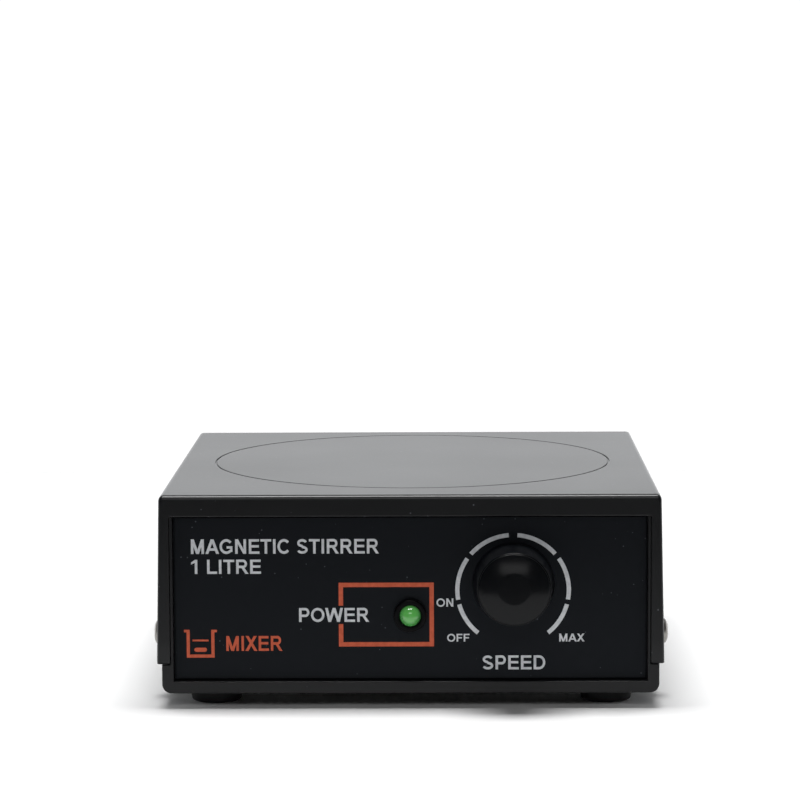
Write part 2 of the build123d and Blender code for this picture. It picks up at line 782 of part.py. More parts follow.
def make_motor_bracket():
    """Bent steel bridge: the motor hangs under its deck, and its two feet stand on the tray's bosses."""
    half = bracket_width / 2
    foot_z = floor_top + bracket_boss_height
    bracket = block(-half, half, -bracket_leg_y, bracket_leg_y, motor_top, bracket_top)
    for end in (-1, 1):
        leg = (end * bracket_leg_y, end * (bracket_leg_y + bracket_thickness))
        foot = (end * bracket_leg_y, end * (bracket_leg_y + bracket_thickness + bracket_foot_length))
        bracket += block(-half, half, *leg, foot_z, bracket_top)
        bracket += block(-half, half, *foot, foot_z, foot_z + bracket_thickness)
    bracket -= rod_z(0, 0, motor_top - 1, bracket_top + 1, bush_diameter)
    for side in (-1, 1):
        x = side * motor_screw_spacing / 2
        bracket -= rod_z(x, 0, motor_top - 1, bracket_top + 1, small_screw_hole)
    for x, y in bracket_hole_places():
        bracket -= rod_z(x, y - drive_y, foot_z - 1, foot_z + bracket_thickness + 1, small_screw_hole)
    return at_drive(bracket)


def make_motor_screws():
    screw = small_screw(motor_screw_length)
    return group(at_drive(Pos(side * motor_screw_spacing / 2, 0, bracket_top) * screw) for side in (-1, 1))


def make_bracket_screws():
    seat = floor_top + bracket_boss_height + bracket_thickness
    return group(boss_screw(x, y, seat) for x, y in bracket_hole_places())


def make_magnet_carrier():
    """Disc with a hub on the motor's shaft and a pocket for each magnet."""
    carrier = rod_z(0, 0, carrier_bottom, carrier_top, carrier_diameter)
    carrier = fillet(carrier.edges(), carrier_edge_round)
    carrier += rod_z(0, 0, carrier_bottom - carrier_hub_length, carrier_bottom, carrier_hub_diameter)
    carrier -= rod_z(0, 0, 0, carrier_top - carrier_web, motor_shaft_diameter)
    for side in (-1, 1):
        pocket = drive_magnet_diameter + 2 * magnet_clearance
        x = side * drive_magnet_radius
        carrier -= rod_z(x, 0, carrier_top - drive_magnet_thickness, carrier_top + 1, pocket)
    z = carrier_bottom - carrier_hub_length / 2
    carrier -= rod_y(0, z, -carrier_hub_diameter, 0, grub_screw_diameter)
    return at_drive(carrier)


def make_drive_magnets():
    span = (carrier_top - drive_magnet_thickness, carrier_top)
    return group(
        at_drive(rod_z(side * drive_magnet_radius, 0, *span, drive_magnet_diameter)) for side in (-1, 1)
    )


def make_grub_screw():
    z = carrier_bottom - carrier_hub_length / 2
    outer = carrier_hub_diameter / 2
    return at_drive(rod_y(0, z, -outer, -motor_shaft_diameter / 2, grub_screw_diameter))


# ---------------------------------------------------------------- transformer
def at_transformer(solid):
    return Pos(transformer_x, transformer_y, transformer_bottom) * solid


def make_transformer_core():
    """Stacked laminations: an outer frame with a centre limb."""
    half_x = core_stack / 2
    half_y = core_length / 2
    core = block(-half_x, half_x, -half_y, half_y, 0, core_height)
    for side in (-1, 1):
        window = (side * core_limb, side * (half_y - core_limb))
        core -= block(-half_x - 1, half_x + 1, *window, core_limb, core_height - core_limb)
    return at_transformer(core)


def make_transformer_winding():
    """Bobbin and winding around the centre limb."""
    half_x = core_stack / 2
    inner_x = half_x + winding_clearance
    inner_y = core_limb + winding_clearance
    outer_x = inner_x + winding_overhang
    outer_y = core_length / 2 - core_limb - winding_clearance
    z0 = core_limb + winding_clearance
    z1 = core_height - core_limb - winding_clearance
    coil = block(-outer_x, outer_x, -outer_y, outer_y, z0, z1)
    coil = fillet(coil.edges().filter_by(Axis.Z), winding_corner_round)
    return at_transformer(coil - block(-inner_x, inner_x, -inner_y, inner_y, z0 - 1, z1 + 1))


def make_transformer_strap():
    """Bent strap over the core, with a foot at each end."""
    half_x = strap_width / 2
    inner = core_length / 2
    outer = inner + strap_thickness
    top = core_height + strap_thickness
    strap = block(-half_x, half_x, -outer, outer, core_height, top)
    for end in (-1, 1):
        strap += block(-half_x, half_x, end * inner, end * outer, 0, top)
        strap += block(-half_x, half_x, end * inner, end * (outer + strap_foot_length), 0, strap_thickness)
    for x, y in strap_hole_places():
        strap -= rod_z(x - transformer_x, y - transformer_y, -1, strap_thickness + 1, small_screw_hole)
    return at_transformer(strap)


def make_transformer_screws():
    return group(boss_screw(x, y, transformer_bottom + strap_thickness) for x, y in strap_hole_places())


# ---------------------------------------------------------------- circuit board
def on_board(dx, dy, solid):
    """Stands a piece, drawn on z = 0, on the board's top face."""
    return Pos(board_x + dx, board_y + dy, board_top) * solid


def make_circuit_board():
    half_x = board_width / 2
    half_y = board_length / 2
    board = Pos(board_x, board_y, 0) * block(-half_x, half_x, -half_y, half_y, board_bottom, board_top)
    for x, y in board_hole_places():
        board -= rod_z(x, y, board_bottom - 1, board_top + 1, small_screw_hole)
    return board


def make_board_screws():
    return group(boss_screw(x, y, board_top) for x, y in board_hole_places())


def make_fuse():
    return on_board(0, fuse_y, rod_x(0, fuse_axis_height, -fuse_length / 2, fuse_length / 2, fuse_diameter))


def make_fuse_clips():
    clips = []
    for side in (-1, 1):
        x = side * (fuse_length / 2 - fuse_clip_inset)
        half_y = fuse_diameter / 2 + fuse_clip_wall
        clip = block(x - 2, x + 2, -half_y, half_y, 0, fuse_axis_height + 1)
        clip -= rod_x(0, fuse_axis_height, x - 3, x + 3, fuse_diameter)
        clips.append(on_board(0, fuse_y, clip))
    return group(clips)


def make_terminal_blocks():
    """Screw terminals: mains at the rear of the board, low voltage at its front."""
    blocks = []
    half_x = terminal_width / 2
    half_y = terminal_depth / 2
    for end in (-1, 1):
        body = block(-half_x, half_x, -half_y, half_y, 0, terminal_height)
        for step in (-1, 0, 1):
            x = step * terminal_pitch
            body -= rod_z(x, 0, terminal_height - terminal_well_depth, terminal_height + 1, terminal_well)
        blocks.append(on_board(0, end * terminal_y, body))
    return group(blocks)


def make_rectifier():
    half_x = rectifier_length / 2
    half_y = rectifier_width / 2
    half_leg = component_leg / 2
    body = block(-half_x, half_x, -half_y, half_y, 1.0, rectifier_top)
    for leg in range(rectifier_legs):
        x = (leg + 0.5) * rectifier_length / rectifier_legs - half_x
        body += block(x - half_leg, x + half_leg, -half_leg, half_leg, 0, 1.0)
    return on_board(*rectifier_place, body)


def make_capacitor():
    body = rod_z(0, 0, 0, capacitor_height, capacitor_diameter)
    body = fillet(body.edges(), 0.8)
    return on_board(*capacitor_place, body)


def make_regulator():
    half_x = regulator_width / 2
    half_leg = component_leg / 2
    middle_y = -regulator_thickness / 2
    body = block(-half_x, half_x, -regulator_thickness, 0, regulator_leg_length, regulator_height)
    for step in (-1, 0, 1):
        x = step * regulator_leg_pitch
        leg_y = (middle_y - half_leg, middle_y + half_leg)
        body += block(x - half_leg, x + half_leg, *leg_y, 0, regulator_leg_length)
    return on_board(0, regulator_y, body)


def make_heat_sink():
    """Comb-shaped extrusion behind the regulator."""
    half = heat_sink_width / 2
    sink = block(-half, half, 0, heat_sink_back, 0, heat_sink_height)
    pitch = (heat_sink_width - heat_sink_fin) / (heat_sink_fins - 1)
    for fin in range(heat_sink_fins):
        x = -half + fin * pitch
        sink += block(x, x + heat_sink_fin, heat_sink_back, heat_sink_depth, 0, heat_sink_height)
    return on_board(0, regulator_y, sink)


# ---------------------------------------------------------------- leads
def terminal_entry_point(end, step):
    """Where a lead meets the outer face of a terminal block: end -1 is the front block, step -1, 0 or 1."""
    x = board_x + step * terminal_pitch
    y = board_y + end * (terminal_y + terminal_depth / 2)
    return (x, y, board_top + terminal_entry)


def make_mains_leads():
    """From the inlet's pins down and forward to the rear terminal block."""
    tail_y = panel_face + inlet_flange_thickness - inlet_body_depth - 1.6
    pin_bottom = inlet_height - inlet_pin_diameter / 2
    leads = []
    for side in (-1, 1):
        x = inlet_x + side * inlet_pin_spacing / 2
        end_x, end_y, end_z = terminal_entry_point(1, side)
        bend_z = (pin_bottom + end_z) / 2 - 2
        leads.append(
            lead(
                (x, tail_y, pin_bottom),
                (x, tail_y, bend_z),
                (end_x, end_y + 4, end_z),
                (end_x, end_y, end_z),
            )
        )
    return group(leads)


def make_control_leads():
    """From the potentiometer's lugs to the front terminal block."""
    lug_y = -panel_face + panel_thickness + pot_lug_setback
    lug_z = knob_height - pot_body_diameter / 2 - pot_lug_length
    low_z = lug_z - 5.0
    leads = []
    for step in (-1, 0, 1):
        x = knob_x + step * pot_lug_pitch
        end_x, end_y, end_z = terminal_entry_point(-1, step)
        leads.append(
            lead(
                (x, lug_y, lug_z),
                (x, lug_y, low_z),
                (end_x, end_y - 12, low_z + 1.0),
                (end_x, end_y - 7, end_z),
                (end_x, end_y, end_z),
            )
        )
    return group(leads)


def make_lamp_leads():
    """From the lamp's legs to the left front of the board."""
    start_y = -panel_face + panel_thickness + led_back + led_leg_length
    high_z = lamp_height - 2.5
    leads = []
    for side in (1, -1):
        x = lamp_x + side * led_leg_spacing / 2
        back = (1 - side) / 2 * lead_pair_spacing
        pad = (board_x - 11.5, board_y - board_length / 2 + lamp_pad_from_end + back)
        leads.append(
            lead(
                (x, start_y, lamp_height),
                (x, start_y + 4.5 + back, lamp_height),
                (x + 7.5, start_y + 9 + back, high_z),
                (board_x - 17, start_y + 15 + back, high_z),
                (*pad, high_z),
                (*pad, board_top),
            )
        )
    return group(leads)


def make_motor_leads():
    """From the motor's end cap along the floor and up to the board's left edge."""
    low_z = floor_top + 1.6
    leads = []
    for side in (1, -1):
        y = drive_y - 10.0 + side * lead_pair_spacing / 2
        leads.append(
            lead(
                (12.5, y, motor_bottom),
                (12.5, y, low_z),
                (board_x - 17.5, y - 1.5, low_z),
                (board_x - 17.5, y - 1.5, board_top + 4),
                (board_x - 12.5, y - 1.5, board_top + 4),
                (board_x - 12.5, y - 1.5, board_top),
            )
        )
    return group(leads)


def make_transformer_leads():
    """From the winding, behind the motor, to the left rear of the board."""
    start_x = transformer_x + core_stack / 2 + winding_clearance + winding_overhang
    rise_z = board_top + 4.5
    leads = []
    for side in (-1, 1):
        offset = side * lead_pair_spacing / 2
        y = transformer_y + 6.0 + offset
        pad_y = board_y + board_length / 2 - supply_pad_from_end + offset
        leads.append(
            lead(
                (start_x, y, transformer_bottom + core_height / 2),
                (start_x + 6, y, transformer_bottom + core_height / 2),
                (start_x + 12, y + 7, floor_top + 4),
                (board_x - 20, y + 7, floor_top + 4),
                (board_x - 17, pad_y + 2, rise_z),
                (board_x - 12, pad_y, rise_z),
                (board_x - 12, pad_y, board_top),
            )
        )
    return group(leads)


nodes = {
    "top_cover": make_top_cover,
    "base_tray": make_base_tray,
    "front_panel": make_front_panel,
    "rear_panel": make_rear_panel,
    "rubber_feet": make_feet,
    "cover_screws": make_cover_screws,
    "knob_body": make_knob_body,
    "knob_cap": make_knob_cap,
    "pot_shaft": make_pot_shaft,
    "pot_body": make_pot_body,
    "pot_washer": make_pot_washer,
    "pot_nut": make_pot_nut,
    "lamp_led": make_led,
    "lamp_bezel": make_lamp_bezel,
    "lamp_legs": make_lamp_legs,
    "inlet_body": make_inlet_body,
    "inlet_pins": make_inlet_pins,
    "inlet_screws": make_inlet_screws,
    "inlet_nuts": make_inlet_nuts,
    "motor_can": make_motor_can,
    "motor_end_cap": make_motor_end_cap,
    "motor_bushes": make_motor_bushes,
    "stator_magnets": make_stator_magnets,
    "armature": make_armature,
    "commutator": make_commutator,
    "motor_shaft": make_motor_shaft,
    "motor_bracket": make_motor_bracket,
    "motor_screws": make_motor_screws,
    "bracket_screws": make_bracket_screws,
    "magnet_carrier": make_magnet_carrier,
    "drive_magnets": make_drive_magnets,
    "grub_screw": make_grub_screw,
    "transformer_core": make_transformer_core,
    "transformer_winding": make_transformer_winding,
    "transformer_strap": make_transformer_strap,
    "transformer_screws": make_transformer_screws,
    "circuit_board": make_circuit_board,
    "board_screws": make_board_screws,
    "fuse": make_fuse,
    "fuse_clips": make_fuse_clips,
    "terminal_blocks": make_terminal_blocks,
    "rectifier": make_rectifier,
    "capacitor": make_capacitor,
    "regulator": make_regulator,
    "heat_sink": make_heat_sink,
    "mains_leads": make_mains_leads,
    "transformer_leads": make_transformer_leads,
    "motor_leads": make_motor_leads,
    "control_leads": make_control_leads,
    "lamp_leads": make_lamp_leads,
}

os.makedirs("parts", exist_ok=True)
for name, make in nodes.items():
    export_step(Pos(0, case_shift_y, 0) * make(), f"parts/{name}.step")
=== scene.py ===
import json
import math

import bmesh
import bpy
import numpy as np
from mathutils import Matrix, Vector


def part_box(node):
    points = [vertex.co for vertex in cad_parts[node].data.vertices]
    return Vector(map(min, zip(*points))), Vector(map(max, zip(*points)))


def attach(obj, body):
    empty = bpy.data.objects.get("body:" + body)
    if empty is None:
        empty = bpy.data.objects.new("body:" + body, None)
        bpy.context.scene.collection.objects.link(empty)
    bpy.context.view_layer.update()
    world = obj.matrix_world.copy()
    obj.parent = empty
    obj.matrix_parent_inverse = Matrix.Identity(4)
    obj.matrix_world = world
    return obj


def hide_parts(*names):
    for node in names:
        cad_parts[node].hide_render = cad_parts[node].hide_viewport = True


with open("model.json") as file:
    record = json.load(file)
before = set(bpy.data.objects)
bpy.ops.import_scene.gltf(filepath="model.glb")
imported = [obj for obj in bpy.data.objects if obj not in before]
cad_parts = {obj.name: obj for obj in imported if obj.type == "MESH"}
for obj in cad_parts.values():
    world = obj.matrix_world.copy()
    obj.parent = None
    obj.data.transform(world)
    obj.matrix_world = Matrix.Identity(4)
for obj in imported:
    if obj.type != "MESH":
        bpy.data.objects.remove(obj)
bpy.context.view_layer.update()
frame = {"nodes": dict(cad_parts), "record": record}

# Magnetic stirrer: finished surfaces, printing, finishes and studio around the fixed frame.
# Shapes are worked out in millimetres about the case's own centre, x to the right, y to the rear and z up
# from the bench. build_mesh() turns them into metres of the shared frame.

nodes = frame["nodes"]
cover_low, cover_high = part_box("top_cover")
case_centre_y = 500.0 * (cover_low.y + cover_high.y)

# ---------------------------------------------------------------- sizes, matching the frame
HALF = 60.0
TOP = 51.0
SKIRT_BOTTOM = 1000.0 * cover_low.z
SIDE_LEAN = 0.85
EDGE_ROUND = 1.2
CORNER_ROUND = 0.7
LIP_X = 56.75
LIP_Z = 45.9
LIP_ROUND = 0.3
INNER_X = 57.6
INNER_Y = 59.0
INNER_Z = 48.4
SKIRT_ROUND = 0.25
RING_Y = 2.0
RING_RADIUS = 50.0
PANEL_Y = -58.2
REAR_PANEL_Y = 58.2
KNOB = (24.4, 29.7)
LAMP = (0.0, 22.1)
INLET = (30.0, 27.0)
SIDE_SCREW_Z = 15.7
SIDE_SCREW_Y = 45.0
FOOT_HEIGHT = 3.7
FOOT_X = 46.8
FOOT_Y = 48.0


# ---------------------------------------------------------------- meshes
def grid_faces(rows, columns, wrap_rows=False, wrap_columns=False):
    """Quads of a rows x columns grid of vertices, numbered row by row; a wrapped side joins up with its
    first line."""
    row = np.arange(rows if wrap_rows else rows - 1)
    column = np.arange(columns if wrap_columns else columns - 1)
    r, c = np.meshgrid(row, column, indexing="ij")
    r2 = (r + 1) % rows
    c2 = (c + 1) % columns
    corners = [r * columns + c, r * columns + c2, r2 * columns + c2, r2 * columns + c]
    return np.stack([k.ravel() for k in corners], axis=1)


def build_mesh(name, points, faces, material, body, replaces=(), sharp=35.0):
    """Makes a piece from points (mm, about the case's centre) and faces, merges seams and poles, turns the
    faces outwards, and smooths it apart from edges sharper than the given angle."""
    points = np.asarray(points, float).reshape(-1, 3)
    metres = (points + (0.0, case_centre_y, 0.0)) / 1000.0
    mesh = bpy.data.meshes.new(name)
    mesh.from_pydata(metres.tolist(), [], [[int(i) for i in face] for face in faces])
    work = bmesh.new()
    work.from_mesh(mesh)
    bmesh.ops.remove_doubles(work, verts=work.verts, dist=2e-7)
    bmesh.ops.dissolve_degenerate(work, edges=work.edges, dist=1e-7)
    bmesh.ops.recalc_face_normals(work, faces=work.faces)
    work.to_mesh(mesh)
    work.free()
    return add_piece(name, mesh, material, body, replaces, sharp)


def add_piece(name, mesh, material, body, replaces=(), sharp=35.0):
    """Puts a finished mesh into the scene as a piece that rides on a body."""
    mesh.polygons.foreach_set("use_smooth", np.ones(len(mesh.polygons), bool))
    mesh.set_sharp_from_angle(angle=math.radians(sharp))
    mesh.materials.clear()
    mesh.materials.append(material)
    piece = bpy.data.objects.new(name, mesh)
    bpy.context.scene.collection.objects.link(piece)
    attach(piece, body)
    if replaces:
        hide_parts(*replaces)
    return piece


def smooth_copy(node, name, material, body, sharp=30.0):
    """A copy of a frame node with its loose triangles merged and its curved faces smoothed."""
    mesh = nodes[node].data.copy()
    work = bmesh.new()
    work.from_mesh(mesh)
    bmesh.ops.remove_doubles(work, verts=work.verts, dist=1e-6)
    work.to_mesh(mesh)
    work.free()
    if mesh.has_custom_normals:
        mesh.attributes.remove(mesh.attributes["custom_normal"])
    piece = add_piece(name, mesh, material, body, (node,), sharp)
    weighted = piece.modifiers.new("even_flats", "WEIGHTED_NORMAL")
    weighted.keep_sharp = True
    return piece


def turned(profile, segments=96):
    """Surface of revolution: each (radius, height) of the profile becomes a circle of that radius at that
    height about the local z axis. Returns points and the quads between neighbouring circles."""
    profile = np.asarray(profile, float)
    angle = np.linspace(0, 2 * np.pi, segments, endpoint=False)
    radius, height = profile[:, :1], profile[:, 1:]
    points = np.stack(
        [radius * np.cos(angle), radius * np.sin(angle), height + 0 * angle], axis=-1
    )
    return points.reshape(-1, 3), grid_faces(len(profile), segments, wrap_columns=True)


def arc(centre, radius, start, stop, count):
    """Points (centre + radius * cos, centre + radius * sin) from start to stop degrees."""
    a = np.radians(np.linspace(start, stop, count))
    return np.stack([centre[0] + radius * np.cos(a), centre[1] + radius * np.sin(a)], axis=1)


def facing(points, direction, place):
    """Carries points drawn along +z to a place, with +z turned to the named direction."""
    x, y, z = np.asarray(points, float).T
    turned_axes = {
        "front": (x, -z, y),
        "rear": (-x, z, y),
        "right": (z, x, y),
        "left": (-z, -x, y),
        "up": (x, y, z),
    }
    return np.stack(turned_axes[direction], axis=1) + place


def several(parts):
    """Joins (points, faces) pairs into one pair."""
    points, faces, count = [], [], 0
    for part_points, part_faces in parts:
        points.append(part_points)
        faces.extend((np.asarray(part_faces) + count).tolist())
        count += len(part_points)
    return np.concatenate(points), faces


# ---------------------------------------------------------------- shader expressions
class Wire:
    """A shader socket in ordinary arithmetic: each operation adds a Math node and gives a new wire."""

    def __init__(self, graph, socket):
        self.graph = graph
        self.socket = socket

    def math(self, operation, *values):
        inputs = dict(enumerate(values))
        return self.graph.node("ShaderNodeMath", {"operation": operation}, inputs)

    def __add__(self, other):
        return self.math("ADD", self, other)

    def __sub__(self, other):
        return self.math("SUBTRACT", self, other)

    def __rsub__(self, other):
        return self.math("SUBTRACT", other, self)

    def __mul__(self, other):
        return self.math("MULTIPLY", self, other)

    def __truediv__(self, other):
        return self.math("DIVIDE", self, other)

    def __lt__(self, other):
        return self.math("LESS_THAN", self, other)

    def __gt__(self, other):
        return self.math("GREATER_THAN", self, other)

    def __abs__(self):
        return self.math("ABSOLUTE", self)

    __radd__ = __add__
    __rmul__ = __mul__

    def ramp(self, low, high):
        """0 below low, 1 above high, and a smooth rise between."""
        settings = {"interpolation_type": "SMOOTHSTEP"}
        inputs = {"Value": self, "From Min": low, "From Max": high}
        return self.graph.node("ShaderNodeMapRange", settings, inputs)

    def wave(self):
        return self.math("SINE", self)

    def root(self):
        return self.math("SQRT", self)


class Graph:
    """The node tree of one material or world."""

    def __init__(self, owner):
        owner.use_nodes = True
        self.tree = owner.node_tree
        self.tree.nodes.clear()

    def node(self, kind, settings=None, inputs=None, output=0):
        """Adds a node of a kind: its settings are set first, then its sockets get their values or wires."""
        made = self.tree.nodes.new(kind)
        for key, value in (settings or {}).items():
            setattr(made, key, value)
        for key, value in (inputs or {}).items():
            if isinstance(value, Wire):
                self.tree.links.new(value.socket, made.inputs[key])
            else:
                made.inputs[key].default_value = value
        return Wire(self, made.outputs[output]) if made.outputs else None

    def place(self):
        """The point on the piece, in metres of the shared frame."""
        return self.node("ShaderNodeTexCoord", output="Object")

    def axes(self, vector):
        parts = self.node("ShaderNodeSeparateXYZ", inputs={0: vector})
        outputs = parts.socket.node.outputs
        return [Wire(self, outputs[k]) for k in range(3)]

    def noise(self, scale, detail=2.0, roughness=0.5, vector=None):
        inputs = {"Vector": vector or self.place(), "Scale": scale, "Detail": detail, "Roughness": roughness}
        return self.node("ShaderNodeTexNoise", inputs=inputs)

    def specks(self, scale, size):
        """1 inside small round spots scattered through space, about size times their spacing wide."""
        near = self.node("ShaderNodeTexVoronoi", inputs={"Vector": self.place(), "Scale": scale})
        kept = self.node("ShaderNodeTexNoise", inputs={"Vector": self.place(), "Scale": scale * 0.37})
        return (near < size) * kept.ramp(0.52, 0.6)

    def mix(self, factor, a, b):
        """Colour a where the factor is 0 and colour b where it is 1."""
        made = self.tree.nodes.new("ShaderNodeMix")
        made.data_type = "RGBA"
        for socket, value in ((made.inputs[0], factor), (made.inputs[6], a), (made.inputs[7], b)):
            if isinstance(value, Wire):
                self.tree.links.new(value.socket, socket)
            else:
                socket.default_value = value
        return Wire(self, made.outputs[2])

    def bump(self, height, distance, strength=1.0):
        inputs = {"Height": height, "Distance": distance, "Strength": strength}
        return self.node("ShaderNodeBump", inputs=inputs)


def finish_of(name, paint):
    """A material whose surface is what paint(graph) gives: the inputs of a Principled shader."""
    material = bpy.data.materials.new(name)
    graph = Graph(material)
    shader = graph.node("ShaderNodeBsdfPrincipled", inputs=paint(graph))
    graph.node("ShaderNodeOutputMaterial", inputs={"Surface": shader})
    return material


def rgb(red, green, blue):
    return (red, green, blue, 1.0)


def case_plastic(g):
    """Black moulded ABS: fine satin grain, a faint unevenness of gloss, a little dust, and a slight polish
    along the rounded edges of both end frames."""
    grain = g.noise(2600.0, 2.0)
    cloud = g.noise(24.0, 3.0)
    dust = g.specks(420.0, 0.085)
    colour = g.mix(cloud, rgb(0.0052, 0.0056, 0.0064), rgb(0.0072, 0.0076, 0.0086))
    _, y, _ = g.axes(g.place())
    from_middle = abs(y - case_centre_y / 1000)
    polish = from_middle.ramp(0.0588, 0.0592) * (1 - from_middle.ramp(0.05985, 0.05999))
    return {
        "Base Color": g.mix(dust * 0.5, colour, rgb(0.16, 0.17, 0.19)),
        "Roughness": 0.32 + cloud * 0.04 + grain * 0.03,
        "Specular IOR Level": 0.25,
        "Coat Weight": polish * 0.3,
        "Coat Roughness": 0.2,
        "Normal": g.bump(grain, 0.00001, 0.35),
    }


def panel_plastic(g):
    """Black sheet plastic with an even, fine matt grain, a few specks of dust, and a painted bluish
    reflection tint.
    """
    grain = g.noise(3400.0, 2.0)
    cloud = g.noise(30.0, 3.0)
    dust = g.specks(520.0, 0.09)
    colour = g.mix(cloud, rgb(0.0032, 0.0037, 0.0052), rgb(0.0044, 0.0050, 0.0068))
    return {
        "Base Color": g.mix(dust * 0.45, colour, rgb(0.13, 0.14, 0.16)),
        "Roughness": 0.46 + cloud * 0.05,
        "Specular IOR Level": 0.15,
        # painted reflection colour: a bluish tint that stands in for the colour of the studio light
        "Specular Tint": rgb(0.84, 0.92, 1.0),
        "Normal": g.bump(grain, 0.00001, 0.3),
    }


def knob_plastic(g):
    """Black knob plastic: a matt side, and a smoother rim and front cap with faint handling marks."""
    cloud = g.noise(160.0, 4.0)
    grain = g.noise(3000.0, 1.0)
    _, y, _ = g.axes(g.place())
    reach = (PANEL_Y + case_centre_y) / 1000 - y
    return {
        "Base Color": g.mix(cloud, rgb(0.0022, 0.0026, 0.0034), rgb(0.0034, 0.0040, 0.0052)),
        "Roughness": 0.30 + cloud * 0.06,
        "Specular IOR Level": 0.05,
        "Coat Weight": reach.ramp(0.0083, 0.0087) * 0.3,
        "Coat Roughness": 0.14,
        "Normal": g.bump(grain, 0.000006, 0.3),
    }


def lens_epoxy(g):
    """Tinted diffused epoxy: a deeper green at the foot of the dome, and a soft lit core above its middle."""
    x, _, z = g.axes(g.place())
    off_x = (x - LAMP[0] / 1000) * 1000
    off_z = (z - LAMP[1] / 1000) * 1000 - 0.5
    radius = (off_x * off_x + off_z * off_z).root()
    rim = radius.ramp(1.3, 2.5)
    return {
        "Base Color": g.mix(rim, rgb(0.07, 0.30, 0.06), rgb(0.05, 0.24, 0.055)),
        "Roughness": 0.09,
        "Emission Color": g.mix(rim, rgb(0.055, 0.2, 0.045), rgb(0.02, 0.085, 0.02)),
        "Emission Strength": 0.58,
        "Coat Weight": 0.5,
        "Coat Roughness": 0.06,
    }


def screen_ink(deep, pale):
    """Printed ink: slightly uneven cover between two near colours."""

    def paint(g):
        cover = g.noise(900.0, 3.0)
        return {
            "Base Color": g.mix(cover.ramp(0.3, 0.7), deep, pale),
            "Roughness": 0.55 + cover * 0.08,
            "Specular IOR Level": 0.3,
        }

    return paint


def rubber(g):
    grain = g.noise(1500.0, 3.0)
    return {
        "Base Color": g.mix(grain, rgb(0.012, 0.012, 0.013), rgb(0.022, 0.022, 0.023)),
        "Roughness": 0.72 + grain * 0.12,
        "Specular IOR Level": 0.25,
        "Normal": g.bump(grain, 0.00002, 0.4),
    }


def plated(deep, pale, roughness=0.28, scale=700.0):
    """Plated or turned metal: a soft cloud of tone and gloss."""

    def paint(g):
        cloud = g.noise(scale, 4.0)
        return {
            "Base Color": g.mix(cloud, deep, pale),
            "Metallic": 1.0,
            "Roughness": roughness + cloud * 0.12,
        }

    return paint


def moulded(deep, pale, roughness=0.45, scale=900.0, specular=0.4):
    """Moulded plastic or epoxy in two near colours with a fine grain."""

    def paint(g):
        cloud = g.noise(scale / 12, 3.0)
        grain = g.noise(scale * 2.5, 2.0)
        return {
            "Base Color": g.mix(cloud, deep, pale),
            "Roughness": roughness + cloud * 0.08,
            "Specular IOR Level": specular,
            "Normal": g.bump(grain, 0.000012, 0.3),
        }

    return paint


def layered(deep, pale, pitch, axis, metallic, roughness):
    """Stacked sheets or wound wire: fine lines every pitch metres along one axis."""

    def paint(g):
        along = g.axes(g.place())[axis]
        lines = (along * (2 * math.pi / pitch)).wave() * 0.5 + 0.5
        return {
            "Base Color": g.mix(lines, deep, pale),
            "Metallic": metallic,
            "Roughness": roughness + lines * 0.1,
            "Normal": g.bump(lines, 0.00008, 0.5),
        }

    return paint


def fuse_glass(g):
    """Glass tube between plated end caps, told apart by the distance from the tube's middle."""
    low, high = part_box("fuse")
    middle = (low.x + high.x) / 2
    x = g.axes(g.place())[0]
    cap = abs(x - middle).ramp(0.0062, 0.0064)
    smear = g.noise(500.0, 3.0)
    return {
        "Base Color": g.mix(cap, rgb(0.62, 0.68, 0.68), rgb(0.66, 0.66, 0.62)),
        "Metallic": cap,
        "Roughness": 0.12 + smear * 0.1,
        "IOR": 1.5,
    }


def lead_sleeve(g):
    """Flexible red lead insulation."""
    cloud = g.noise(300.0, 3.0)
    return {
        "Base Color": g.mix(cloud, rgb(0.2, 0.012, 0.01), rgb(0.3, 0.022, 0.018)),
        "Roughness": 0.42 + cloud * 0.1,
    }


